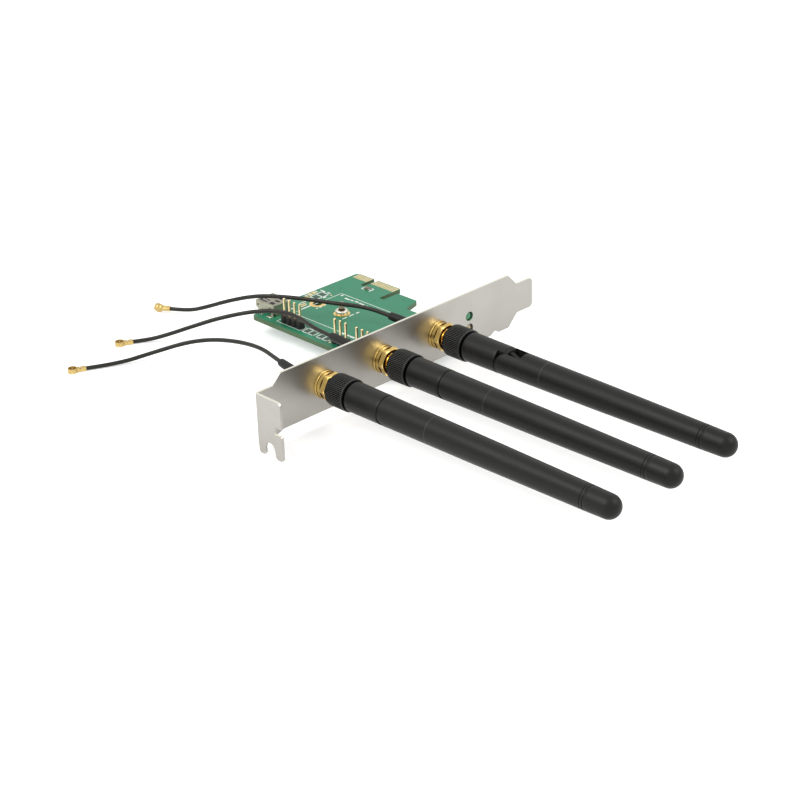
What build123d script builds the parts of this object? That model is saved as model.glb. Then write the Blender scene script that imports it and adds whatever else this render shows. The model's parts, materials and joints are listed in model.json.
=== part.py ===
from build123d import *
import math
import os

os.makedirs("parts", exist_ok=True)

# An adapter card for a radio module: a bracket with three antenna jacks, a small board with an
# edge connector, three hinged antennas and three thin leads with snap-on plugs.
# While it is modelled, X is measured outwards from the plate's outer face, Y along the bracket
# from the flange's outer face, and Z up from the plate's lower edge. All sizes are millimetres.

# bracket
sheet = 0.86
bracket_length = 120.02
plate_height = 18.42
flange_top = 15.25
flange_drop = 3.8
flange_reach = 10.57
step_start = 6.5
step_end = 9.9
heel_drop = 1.4
shoulder_y = 108.5
tongue_y = 112.6
tongue_low = 4.1
tongue_high = 14.3
tongue_round = 1.4
nick_y = 101.9
nick_half = 1.9
nick_depth = 1.1
bend_inner = 0.4
screw_slot_x = 5.1
screw_slot_width = 4.42
screw_slot_top = 0.76
foot_round_share = 0.39
edge_notch_depth = 3.0
edge_notch_low = 4.4
edge_notch_high = 6.8
flange_round = 1.4
tooth_round = 0.7
ear_reach = 8.4
ear_width = 8.6
ear_round = 2.0
ear_places_y = (62.0, 84.0)
ear_hole_x = -5.6

# jacks
jack_y = 27.1
jack_spacing = 24.35
jack_count = 3
jack_z = 8.7
thread_radius = 3.125
thread_end = 9.8
plate_hole_gap = 0.125
jack_bore_radius = 2.3
jack_bore_floor = 2.6
jack_chamfer = 0.35
rear_hex_flats = 8.0
rear_hex_length = 2.2
crimp_radius = 1.9
crimp_end = -6.5
washer_radius = 4.55
washer_thick = 0.95
lock_nut_flats = 8.0
lock_nut_length = 3.4
lock_nut_collar = 1.3
lock_nut_collar_radius = 4.3
lock_nut_groove = 0.15
lock_nut_groove_depth = 0.2
lock_nut_chamfer = 0.5
lock_nut_face_inset = 0.1
washer_chamfer = 0.2
thread_gap = 0.07
insulator_length = 2.0
insulator_gap = 0.02
contact_radius = 0.46
contact_end = 8.8
contact_chamfer = 0.15

# antenna connector
antenna_inset = (1.3, 0.0, 0.0)
nut_front = 5.95
nut_rear = 14.0
nut_radius = 5.15
nut_band = 2.45
nut_rear_band = 0.5
nut_front_chamfer = 0.7
nut_band_inset = 0.1
nut_rear_chamfer = 0.2
rib_count = 58
rib_depth = 0.26
nut_thread_end = 11.3
nut_lip = 1.1
nut_recess_radius = 4.05
plug_flange_gap = 0.1
plug_face_gap = 0.2
plug_flange_thick = 1.15
stem_radius = 3.1
stem_gap = 0.1
stem_end = 20.0
barrel_front = 7.2
barrel_gap = 0.05
barrel_wall = 0.6
socket_radius = 0.85
socket_gap = 0.05
socket_setback = 0.3
socket_bore_spare = 2.2
press_gap = 0.02

# antenna housing
seat_gap = 0.3
base_front_radius = 4.75
base_rear_radius = 4.65
base_end = 28.1
base_chamfer = 0.4
hinge_from_base = 4.2
tongue_end_radius = 3.2
slot_width = 5.3
slot_side_gap = 0.2
stub_length = 3.4
stub_round = 1.3
knuckle_top = 1.2
knuckle_relief = 0.5
web_slope = 0.6
web_width = 1.3
web_reach = 3.0
web_low = 1.9
hinge_pin_radius = 0.9
hinge_pin_half = 3.9
hinge_pin_gap = 0.05
slot_beyond_base = 0.3
radome_front_radius = 4.62
radome_mid = 66.0
radome_mid_radius = 4.3
radome_bore_radius = 2.7
radome_bore_start = 40.0
lead_hole_radius = 0.8
cap_length = 11.1
cap_ring = 1.2
cap_end_radius = 3.63
cap_groove = 0.15
cap_groove_width = 0.3
cap_spigot_length = 4.0
cap_spigot_gap = 0.02
antenna_tip = 116.1
antenna_open_side = (-1, -1, 1)

# board
board_thick = 1.57
board_top = 2.75
board_front_y = 54.7
board_side_y = 92.5
board_far_x = -66.4
board_plate_gap = 0.34
board_corner = 1.0
tab_round = 0.7
hook_round = 1.0
tab_far_x = -65.3
tab_near_x = -45.0
tab_edge_y = 103.2
key_x = -57.15
key_width = 1.9
key_end_y = 96.3
hook_slot_width = 2.1
hook_slot_end_y = 92.9
hook_edge_y = 99.7
hook_near_x = -33.6
hook_root_x = -31.6
finger_pitch = 1.0
finger_width = 0.7
finger_start_y = 99.4
finger_end_y = 102.85
finger_margin = 0.65
finger_key_margin = 0.55
near_fingers = 11
far_fingers = 7
film = 0.05

# module place
module_y = 75.6
module_datum_x = -15.0
module_steps = (30.0, 42.0)
socket_length = 21.9
socket_depth = 8.7
socket_height = 3.2
socket_slot_height = 1.1
socket_slot_low = 1.3
socket_slot_depth = 3.7
socket_slot_end = 1.0
socket_key_y = 69.7
socket_key_width = 1.2
socket_pitch = 0.5
socket_lead_width = 0.24
socket_lead_length = 1.0
socket_lead_thick = 0.15
socket_lead_margin = 0.6
socket_chamfer = 0.8
ring_pad_radius = 2.8
ring_hole_radius = 1.6
round_pad_x = -63.2
round_pad_radius = 2.0
standoff_radius = 2.15
standoff_height = 1.3
standoff_bore_gap = 0.03
standoff_chamfer = 0.25
stud_radius = 0.975
stud_height = 4.0
stud_head_radius = 1.75
stud_head_thick = 0.7
stud_chamfer = 0.2
shank_radius = 1.2

# pin headers
pin_pitch = 2.54
pin_side = 0.64
pin_height = 8.5
pin_tail = 1.2
housing_height = 2.5
housing_depth = 2.5
housing_notch = 0.45
pin_gap = 0.02
pin_hole_radius = 0.5
pin_tip_chamfer = 0.15
header_row_y = 58.4
header_four_x = -53.9
header_three_x = (-29.4, -19.2)

# supply socket
supply_front_x = -68.5
supply_back_x = -59.4
supply_y = 62.1
supply_width = 7.7
supply_height = 3.9
supply_wall = 0.3
supply_foot_width = 5.6
supply_shoulder = 1.7
supply_tongue_width = 4.9
supply_tongue_thick = 1.0
supply_tongue_setback = 1.2
supply_tab_x = (-66.0, -60.4)
supply_tab_width = 1.3
supply_tab_reach = 0.9
supply_contacts = 5
supply_contact_pitch = 0.8
supply_contact_width = 0.4
supply_contact_thick = 0.12
supply_contact_setback = 0.4
supply_tongue_drop = 1.35
supply_rear_depth = 1.6

# lamps
lamp_y = 90.1
lamp_heights = (5.9, 10.1)
lamp_hole_radius = 1.6
lamp_radius = 1.45
lamp_front_x = -0.15
lamp_length = 5.2
lamp_gap = 0.05
holder_front_x = -1.7
holder_depth = 6.0
holder_width = 5.0
holder_top = 12.3
holder_groove_depth = 0.55
holder_groove = 0.3
holder_leg_room = 0.5
lamp_leg = 0.45
lamp_leg_spacing = 1.27
lamp_leg_reach = (1.3, 3.3)

# board screws
screw_head_radius = 2.6
screw_head_height = 1.7
screw_radius = 1.45
screw_gap = 0.05
screw_board_gap = 0.15
screw_tail = 0.5
screw_cross_length = 2.6
screw_cross_width = 0.6

# small parts on the board
chip_places = ((-53.5, 95.6, 2.0, 1.25), (-62.9, 68.2, 1.6, 0.8))
chip_height = 0.55

# leads
lead_radius = 0.685
sleeve_radius = 1.4
plug_ring_radius = 1.55
plug_ring_wall = 0.3
plug_height = 1.5
plug_floor = 0.3
plug_pin_radius = 0.3
plug_neck_length = 3.0
plug_neck_width = 1.5
plug_edge_round = 0.3
plug_crimp_from_ring = 1.1
plug_crimp_width = 0.3
plug_crimp_depth = 0.5

# routes of the leads as far as their plugs, chosen along the visible curves
sleeve_routes = (
    ((crimp_end, 27.1, 8.7), (-15.6, 27.1, 8.7), (-25.2, 29.4, 8.5)),
    ((crimp_end, 51.45, 8.7), (-15.2, 51.45, 8.7), (-24.4, 52.2, 8.6)),
    ((crimp_end, 75.8, 8.7), (-14.0, 75.8, 8.7), (-21.4, 75.3, 8.9)),
)
lead_routes = (
    ((-25.2, 29.4, 8.5), (-34.8, 31.8, 8.3), (-46.0, 32.2, 6.9), (-57.9, 30.8, 4.6),
     (-67.4, 27.2, 1.8), (-75.4, 18.9, -1.6), (-79.6, 8.4, -3.05), (-84.6, -0.8, -3.05)),
    ((-24.4, 52.2, 8.6), (-33.6, 52.9, 8.5), (-43.2, 54.9, 8.95), (-51.0, 54.3, 8.8), (-58.6, 50.0, 8.1),
     (-67.5, 42.4, 5.6), (-74.6, 35.6, 2.5), (-82.2, 31.0, -1.2), (-87.0, 26.9, -3.05), (-89.8, 22.2, -3.05)),
    ((-21.4, 75.3, 8.9), (-31.76, 74.6, 9.22), (-42.3, 68.6, 9.6), (-50.2, 64.9, 9.9), (-58.6, 61.2, 9.6),
     (-66.6, 57.2, 8.9), (-77.2, 54.4, 5.1), (-87.2, 51.2, 0.6), (-94.2, 49.5, -2.05), (-100.1, 46.4, -2.05)),
)
plug_rolls = (0.0, 0.0, 62.0)

# places worked out from the sizes above
plate_back = -sheet
board_bottom = board_top - board_thick
board_near_x = plate_back - board_plate_gap
socket_mouth_x = module_datum_x - socket_slot_depth
tilt_axis_x = base_end + hinge_from_base
cap_start = antenna_tip - cap_length
radome_start = base_end + seat_gap
cheek_radius = hinge_from_base - seat_gap
slot_end = tilt_axis_x + base_rear_radius + slot_beyond_base
slot_floor = tongue_end_radius + seat_gap
header_pin_bottom = board_bottom - pin_tail
origin_x = (antenna_tip + supply_front_x) / 2
origin_y = bracket_length / 2
origin_z = -flange_drop


def jack_place(index):
    return jack_y + jack_spacing * index


def turned(profile, y, z):
    """Turns an outline of (distance along X, radius) points about a jack's axis."""
    face = make_face(Polyline(*[(x, r, 0) for x, r in profile], close=True))
    return Pos(0, y, z) * revolve(face, Axis.X)


def rod(radius, start, end, y, z):
    return Pos((start + end) / 2, y, z) * (Rot(0, 90, 0) * Cylinder(radius, abs(end - start)))


def block(low, high):
    size = [b - a for a, b in zip(low, high)]
    middle = [(a + b) / 2 for a, b in zip(low, high)]
    return Pos(*middle) * Box(*size)


def raised(points, low, high):
    """An outline of (x, y) points, as thick as from low to high."""
    face = make_face(Polyline(*points, close=True))
    return Pos(0, 0, low) * extrude(face, high - low, dir=(0, 0, 1))


def drawn_out(points, start, end):
    """An outline of (y, z) points, drawn out along X from start to end."""
    face = make_face(Plane.YZ * Polyline(*points, close=True))
    return Pos(start, 0, 0) * extrude(face, end - start, dir=(1, 0, 0))


def hexagon(flats, start, end, y, z):
    corner = flats / 2 / math.cos(math.radians(30))
    points = []
    for i in range(6):
        angle = math.radians(60 * i)
        points.append((y + corner * math.cos(angle), z + corner * math.sin(angle)))
    return drawn_out(points, start, end)


def bent_sheet():
    """The sheet seen from above: the flange, the rounded bend and the plate."""
    profile = make_face(Polyline(
        (flange_reach, 0), (plate_back, 0), (plate_back, bracket_length), (0, bracket_length),
        (0, sheet), (flange_reach, sheet), close=True))
    outer = profile.vertices().sort_by_distance((plate_back, 0, 0))[0]
    profile = fillet(outer, sheet + bend_inner)
    inner = profile.vertices().sort_by_distance((0, sheet, 0))[0]
    profile = fillet(inner, bend_inner)
    return Pos(0, 0, -flange_drop) * extrude(profile, flange_drop + plate_height, dir=(0, 0, 1))


def side_outline():
    bend_end = sheet + bend_inner
    outline = [
        (-1, -flange_drop), (-1, flange_top), (step_start, flange_top), (step_end, plate_height),
        (shoulder_y, plate_height), (tongue_y, tongue_high), (bracket_length, tongue_high),
        (bracket_length, tongue_low), (tongue_y, tongue_low), (shoulder_y, 0),
        (nick_y + nick_half, 0), (nick_y, nick_depth), (nick_y - nick_half, 0),
        (step_end, 0), (step_start, -heel_drop), (bend_end, -heel_drop), (bend_end, -flange_drop),
    ]
    prism = drawn_out(outline, plate_back - 1, flange_reach + 1)
    tips = prism.edges().filter_by(Axis.X).group_by(Axis.Y)[-1]
    return fillet(tips, tongue_round)


def flange_cuts():
    slot_low = screw_slot_x - screw_slot_width / 2
    slot_high = screw_slot_x + screw_slot_width / 2
    slot_centre = screw_slot_top - screw_slot_width / 2
    cuts = block((slot_low, -1, -flange_drop - 1), (slot_high, 2 * sheet, slot_centre))
    cuts += Pos(screw_slot_x, 0, slot_centre) * (Rot(90, 0, 0) * Cylinder(screw_slot_width / 2, 4 * sheet))
    notch_x = flange_reach - edge_notch_depth
    cuts += block((notch_x, -1, edge_notch_low), (flange_reach + 1, 2 * sheet, edge_notch_high))
    return cuts + block((plate_back - 1, -1, -flange_drop - 1), (0, 2 * sheet, -heel_drop))


def bracket_ear(y):
    low = board_bottom - sheet
    ear = block(
        (plate_back - ear_reach, y - ear_width / 2, low), (plate_back, y + ear_width / 2, board_bottom))
    corners = ear.edges().filter_by(Axis.Z).group_by(Axis.X)[0]
    ear = fillet(corners, ear_round)
    return ear - Pos(ear_hole_x, y, low) * Cylinder(screw_radius + screw_gap, 4 * sheet)


def round_feet(body):
    """Rounds the two corners of each leg beside the screw slot by a share of the leg's width."""
    half = screw_slot_width / 2
    for low, high in ((0, screw_slot_x - half), (screw_slot_x + half, flange_reach)):
        feet = body.edges().filter_by(Axis.Y).group_by(Axis.Z)[0]
        side = low + high - 2 * screw_slot_x
        corners = [edge for edge in feet if (edge.center().X - screw_slot_x) * side > 0]
        body = fillet(corners, foot_round_share * (high - low))
    return body


def bracket():
    body = (bent_sheet() & side_outline()) - flange_cuts()
    body = round_feet(body)
    for height, radius in ((flange_top, flange_round), (edge_notch_low, tooth_round)):
        corner = body.edges().filter_by(Axis.Y).sort_by_distance((flange_reach, 0, height))[0]
        body = fillet(corner, radius)
    for index in range(jack_count):
        body -= rod(thread_radius + plate_hole_gap, plate_back - 1, 1, jack_place(index), jack_z)
    for height in lamp_heights:
        body -= rod(lamp_hole_radius, plate_back - 1, 1, lamp_y, height)
    for y in ear_places_y:
        body += bracket_ear(y)
    return body


def bracket_screw(y):
    under = board_bottom - sheet - screw_tail
    shank = Pos(ear_hole_x, y, (under + board_top) / 2) * Cylinder(screw_radius, board_top - under)
    head = Cylinder(screw_head_radius, screw_head_height)
    head = Pos(ear_hole_x, y, board_top + screw_head_height / 2) * head
    head = fillet(head.edges().group_by(Axis.Z)[-1], screw_head_height / 2)
    slot = Pos(ear_hole_x, y, board_top + screw_head_height)
    cross = slot * Box(screw_cross_length, screw_cross_width, screw_head_height)
    cross += slot * Box(screw_cross_width, screw_cross_length, screw_head_height)
    return shank + head - cross


def board():
    key_low = key_x - key_width / 2
    key_high = key_x + key_width / 2
    hook_x = tab_near_x + hook_slot_width
    corner = tab_far_x - board_far_x
    outline = [
        (board_near_x, board_front_y), (board_far_x, board_front_y),
        (board_far_x, tab_edge_y - corner), (tab_far_x, tab_edge_y),
        (tab_near_x, tab_edge_y), (tab_near_x, hook_slot_end_y), (hook_x, hook_slot_end_y),
        (hook_x, hook_edge_y), (hook_near_x, hook_edge_y), (hook_root_x, board_side_y),
        (board_near_x, board_side_y),
    ]
    panel = raised(outline, board_bottom, board_top)
    front = panel.edges().filter_by(Axis.Z).group_by(Axis.Y)[0]
    panel = fillet(front, board_corner)
    tab_corners = ((tab_far_x, tab_edge_y, tab_round), (tab_near_x, tab_edge_y, tab_round))
    for x, y, radius in tab_corners + ((hook_near_x, hook_edge_y, hook_round),):
        edge = panel.edges().filter_by(Axis.Z).sort_by_distance((x, y, board_top))[0]
        panel = fillet(edge, radius)
    key_round = key_end_y + key_width / 2
    panel -= block((key_low, key_round, board_bottom - 1), (key_high, tab_edge_y + 1, board_top + 1))
    panel -= Pos(key_x, key_round, board_top) * Cylinder(key_width / 2, 4 * board_thick)
    for y in ear_places_y:
        panel -= Pos(ear_hole_x, y, board_top) * Cylinder(screw_radius + screw_board_gap, 4 * board_thick)
    for step in module_steps:
        panel -= Pos(module_datum_x - step, module_y, board_top) * Cylinder(ring_hole_radius, 4 * board_thick)
    for x in all_pin_places():
        panel -= Pos(x, header_row_y, board_top) * Cylinder(pin_hole_radius, 4 * board_thick)
    return panel


def finger_places():
    near = [tab_near_x - finger_margin - finger_pitch * i for i in range(near_fingers)]
    first_far = key_x - key_width / 2 - finger_key_margin
    far = [first_far - finger_pitch * i for i in range(far_fingers)]
    return near + far


def edge_contacts():
    fingers = []
    for x in finger_places():
        low = (x - finger_width / 2, finger_start_y)
        high = (x + finger_width / 2, finger_end_y)
        fingers.append(block((*low, board_top), (*high, board_top + film)))
        fingers.append(block((*low, board_bottom - film), (*high, board_bottom)))
    return Compound(children=fingers)


def gold_pads():
    pads = []
    for step in module_steps:
        place = Pos(module_datum_x - step, module_y, board_top + film / 2)
        pads.append(place * (Cylinder(ring_pad_radius, film) - Cylinder(ring_hole_radius, 2 * film)))
    pads.append(Pos(round_pad_x, module_y, board_top + film / 2) * Cylinder(round_pad_radius, film))
    return Compound(children=pads)


def module_socket():
    half = socket_length / 2
    back = socket_mouth_x + socket_depth
    top = board_top + socket_height
    body = block((socket_mouth_x, module_y - half, board_top), (back, module_y + half, top))
    ridge = body.edges().filter_by(Axis.Y).group_by(Axis.Z)[-1]
    body = chamfer(ridge.sort_by(Axis.X)[-1:], socket_chamfer)
    slot_low = board_top + socket_slot_low
    slot = block(
        (socket_mouth_x - 1, module_y - half + socket_slot_end, slot_low),
        (module_datum_x, module_y + half - socket_slot_end, slot_low + socket_slot_height))
    key = block(
        (socket_mouth_x - 1, socket_key_y - socket_key_width / 2, slot_low - 1),
        (module_datum_x + 1, socket_key_y + socket_key_width / 2, slot_low + socket_slot_height + 1))
    return body - (slot - key)


def socket_contacts():
    half = socket_length / 2 - socket_slot_end - socket_lead_margin
    count = int(2 * half / socket_pitch) + 1
    front = socket_mouth_x - socket_lead_length
    back = socket_mouth_x + socket_depth
    leads = []
    for i in range(count):
        y = module_y - half + socket_pitch * i
        if abs(y - socket_key_y) < socket_key_width:
            continue
        side = (y - socket_lead_width / 2, y + socket_lead_width / 2)
        top = board_top + socket_lead_thick
        leads.append(block((back, side[0], board_top), (back + socket_lead_length, side[1], top)))
        leads.append(block((front, side[0], board_top), (socket_mouth_x, side[1], top)))
    return Compound(children=leads)


def module_standoff():
    x = module_datum_x - module_steps[0]
    collar_low = board_top + film
    collar = Pos(x, module_y, collar_low + standoff_height / 2) * Cylinder(standoff_radius, standoff_height)
    collar = chamfer(collar.edges().group_by(Axis.Z)[-1], standoff_chamfer)
    sleeve_length = collar_low - board_bottom
    sleeve = Pos(x, module_y, board_bottom + sleeve_length / 2)
    collar += sleeve * Cylinder(ring_hole_radius - standoff_bore_gap, sleeve_length)
    bore = Cylinder(shank_radius + standoff_bore_gap, 4 * standoff_height + board_thick)
    return collar - Pos(x, module_y, board_top) * bore


def module_screw():
    x = module_datum_x - module_steps[0]
    shoulder = board_top + film + standoff_height
    top = board_top + stud_height
    stud = Pos(x, module_y, (shoulder + top) / 2) * Cylinder(stud_radius, top - shoulder)
    stud = chamfer(stud.edges().group_by(Axis.Z)[-1], stud_chamfer)
    shank = Pos(x, module_y, (board_bottom + shoulder) / 2) * Cylinder(shank_radius, shoulder - board_bottom)
    head = Pos(x, module_y, board_bottom - stud_head_thick / 2) * Cylinder(stud_head_radius, stud_head_thick)
    return stud + shank + head


def pin_places(first_x, count):
    return [first_x + pin_pitch * i for i in range(count)]


def all_pin_places():
    places = pin_places(header_four_x, 4)
    for first_x in header_three_x:
        places += pin_places(first_x, 3)
    return places


def header_housing(first_x, count):
    places = pin_places(first_x, count)
    half = pin_pitch / 2
    side = housing_depth / 2
    low_x = places[0] - half
    high_x = places[-1] + half
    body = block(
        (low_x, header_row_y - side, board_top), (high_x, header_row_y + side, board_top + housing_height))
    joints = [low_x + pin_pitch * i for i in range(count + 1)]
    for x in joints:
        for y in (header_row_y - side, header_row_y + side):
            groove = Pos(x, y, board_top + housing_height / 2)
            body -= groove * (Rot(0, 0, 45) * Box(housing_notch * 2, housing_notch * 2, 2 * housing_height))
    hole = pin_side + 2 * pin_gap
    for x in places:
        body -= Pos(x, header_row_y, board_top) * Box(hole, hole, 4 * housing_height)
    return body


def header_pins(first_x, count):
    """A list of square pins, one for each place."""
    pins = []
    top = board_top + pin_height
    for x in pin_places(first_x, count):
        pin = Box(pin_side, pin_side, top - header_pin_bottom)
        pin = chamfer(pin.edges().group_by(Axis.Z)[-1], pin_tip_chamfer)
        pins.append(Pos(x, header_row_y, (header_pin_bottom + top) / 2) * pin)
    return pins


def supply_outline(inset):
    half = supply_width / 2 - inset
    foot = supply_foot_width / 2 - inset
    low = board_top + inset
    top = board_top + supply_height - inset
    shoulder = board_top + supply_shoulder
    return [
        (supply_y - foot, low), (supply_y + foot, low), (supply_y + half, shoulder),
        (supply_y + half, top), (supply_y - half, top), (supply_y - half, shoulder),
    ]


def supply_shell():
    outer = drawn_out(supply_outline(0), supply_front_x, supply_back_x)
    inner = drawn_out(supply_outline(supply_wall), supply_front_x - 1, supply_back_x - supply_wall)
    shell = outer - inner
    half = supply_width / 2
    for x in supply_tab_x:
        for side in (-1, 1):
            near = supply_y + side * (half - supply_wall)
            far = supply_y + side * (half + supply_tab_reach)
            arm = block(
                (x - supply_tab_width / 2, min(near, far), board_top),
                (x + supply_tab_width / 2, max(near, far), board_top + supply_wall))
            wall_in = supply_y + side * (half - supply_wall)
            wall_out = supply_y + side * half
            post = block(
                (x - supply_tab_width / 2, min(wall_in, wall_out), board_top),
                (x + supply_tab_width / 2, max(wall_in, wall_out), board_top + supply_shoulder))
            shell += arm + post
    return shell


def supply_tongue():
    middle = board_top + supply_height - supply_wall - supply_tongue_drop
    back = supply_back_x - supply_wall
    side = supply_tongue_width / 2
    thick = supply_tongue_thick / 2
    tongue = block(
        (supply_front_x + supply_tongue_setback, supply_y - side, middle - thick),
        (back, supply_y + side, middle + thick))
    half = supply_foot_width / 2 - supply_wall
    rear = block(
        (back - supply_rear_depth, supply_y - half, board_top + supply_wall),
        (back, supply_y + half, board_top + supply_height - supply_wall))
    return tongue + rear


def supply_contact_strips():
    under = board_top + supply_height - supply_wall - supply_tongue_drop - supply_tongue_thick / 2
    first = supply_y - supply_contact_pitch * (supply_contacts - 1) / 2
    start = supply_front_x + supply_tongue_setback + supply_contact_setback
    end = supply_back_x - supply_wall - supply_rear_depth
    half = supply_contact_width / 2
    strips = []
    for i in range(supply_contacts):
        y = first + supply_contact_pitch * i
        strips.append(block((start, y - half, under - supply_contact_thick), (end, y + half, under)))
    return Compound(children=strips)


def lamp(height):
    dome = lamp_radius
    front = lamp_front_x - dome
    body = rod(lamp_radius, front - (lamp_length - dome), front, lamp_y, height)
    return body + Pos(front, lamp_y, height) * Sphere(dome)


def lamp_holder():
    back = holder_front_x - holder_depth
    low_y = lamp_y - holder_width / 2
    high_y = lamp_y + holder_width / 2
    body = block((back, low_y, board_top), (holder_front_x, high_y, holder_top))
    middle = (lamp_heights[0] + lamp_heights[1]) / 2
    groove_x = holder_front_x - holder_groove_depth
    body -= block(
        (groove_x, low_y - 1, middle - holder_groove / 2),
        (holder_front_x + 1, high_y + 1, middle + holder_groove / 2))
    rear = lamp_front_x - lamp_length - lamp_gap
    for height in lamp_heights:
        body -= rod(lamp_radius + lamp_gap, rear, 1, lamp_y, height)
        body -= block(
            (back - 1, lamp_y - lamp_leg_spacing, height - holder_leg_room),
            (rear + lamp_gap, lamp_y + lamp_leg_spacing, height + holder_leg_room))
    return body


def lamp_legs():
    rear = lamp_front_x - lamp_length
    back = holder_front_x - holder_depth
    half = lamp_leg / 2
    legs = []
    for height, reach in zip(lamp_heights, lamp_leg_reach):
        for side in (-1, 1):
            y = lamp_y + side * lamp_leg_spacing / 2
            x = back - reach
            across = block((x - half, y - half, height - half), (rear, y + half, height + half))
            down = block((x - half, y - half, board_top), (x + half, y + half, height + half))
            legs.append(across + down)
    return Compound(children=legs)


def chips():
    parts = []
    for x, y, long_side, short_side in chip_places:
        parts.append(Pos(x, y, board_top + chip_height / 2) * Box(long_side, short_side, chip_height))
    return Compound(children=parts)


def jack_body(y):
    shell = turned([
        (plate_back, 0), (plate_back, thread_radius), (thread_end - jack_chamfer, thread_radius),
        (thread_end, thread_radius - jack_chamfer), (thread_end, jack_bore_radius),
        (jack_bore_floor, jack_bore_radius), (jack_bore_floor, 0),
    ], y, jack_z)
    rear = plate_back - rear_hex_length
    shell += hexagon(rear_hex_flats, rear, plate_back, y, jack_z)
    return shell + rod(crimp_radius, crimp_end, rear, y, jack_z)


def jack_washer(y):
    ring = rod(washer_radius, 0, washer_thick, y, jack_z)
    ring = chamfer(ring.edges().group_by(Axis.X)[-1], washer_chamfer)
    return ring - rod(thread_radius + thread_gap, -1, washer_thick + 1, y, jack_z)


def jack_nut(y):
    start = washer_thick
    collar_end = start + lock_nut_collar
    end = start + lock_nut_length
    corner = lock_nut_flats / 2 / math.cos(math.radians(30))
    nut = rod(lock_nut_collar_radius, start, collar_end, y, jack_z)
    neck = lock_nut_flats / 2 - lock_nut_groove_depth
    nut += rod(neck, collar_end, collar_end + lock_nut_groove, y, jack_z)
    hexed = hexagon(lock_nut_flats, collar_end + lock_nut_groove, end, y, jack_z)
    cone = turned([
        (collar_end, 0), (collar_end, corner), (end - lock_nut_chamfer, corner),
        (end, lock_nut_flats / 2 - lock_nut_face_inset), (end, 0),
    ], y, jack_z)
    nut += hexed & cone
    return nut - rod(thread_radius + thread_gap, -1, end + 1, y, jack_z)


def jack_insulators():
    rings = []
    for index in range(jack_count):
        y = jack_place(index)
        end = jack_bore_floor + insulator_length
        ring = rod(jack_bore_radius - insulator_gap, jack_bore_floor, end, y, jack_z)
        rings.append(ring - rod(contact_radius + insulator_gap, 0, contact_end, y, jack_z))
    return Compound(children=rings)


def jack_contacts():
    pins = []
    for index in range(jack_count):
        pin = rod(contact_radius, jack_bore_floor, contact_end, jack_place(index), jack_z)
        pins.append(chamfer(pin.edges().group_by(Axis.X)[-1], contact_chamfer))
    return Compound(children=pins)


def coupling_nut(y):
    band_end = nut_front + nut_band
    rear_band = nut_rear - nut_rear_band
    body = turned([
        (nut_front, 0), (nut_front, nut_radius - nut_front_chamfer),
        (nut_front + nut_front_chamfer, nut_radius - nut_band_inset),
        (band_end, nut_radius - nut_band_inset), (band_end, 0),
    ], y, jack_z)
    points = []
    step = 360 / rib_count
    shares = ((0.0, 0), (0.5, 0), (0.65, rib_depth), (0.85, rib_depth))
    for i in range(rib_count):
        for share, depth in shares:
            angle = math.radians(step * (i + share))
            radius = nut_radius - depth
            points.append((y + radius * math.cos(angle), jack_z + radius * math.sin(angle)))
    body += drawn_out(points, band_end, rear_band)
    rear_radius = nut_radius - rib_depth
    body += turned([
        (rear_band, 0), (rear_band, rear_radius), (nut_rear - nut_rear_chamfer, rear_radius),
        (nut_rear, rear_radius - nut_rear_chamfer), (nut_rear, 0),
    ], y, jack_z)
    body -= rod(thread_radius + thread_gap, nut_front - 1, nut_thread_end, y, jack_z)
    body -= rod(nut_recess_radius, nut_thread_end - 0.01, nut_rear - nut_lip, y, jack_z)
    return body - rod(stem_radius + stem_gap, nut_front, nut_rear + 1, y, jack_z)


def antenna_plug(y):
    flange_front = nut_thread_end + plug_face_gap
    flange_rear = flange_front + plug_flange_thick
    barrel = jack_bore_radius - barrel_gap
    body = turned([
        (flange_front - 0.01, 0), (flange_front, nut_recess_radius - plug_flange_gap),
        (flange_rear, nut_recess_radius - plug_flange_gap), (flange_rear, stem_radius),
        (stem_end, stem_radius), (stem_end, 0),
    ], y, jack_z)
    sleeve = rod(barrel, barrel_front, flange_rear, y, jack_z)
    sleeve -= rod(barrel - barrel_wall, 0, flange_front, y, jack_z)
    socket = rod(socket_radius, barrel_front + socket_setback, flange_rear, y, jack_z)
    bore = rod(contact_radius + socket_gap, 0, contact_end + socket_bore_spare, y, jack_z)
    return body + sleeve + socket - bore


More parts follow.
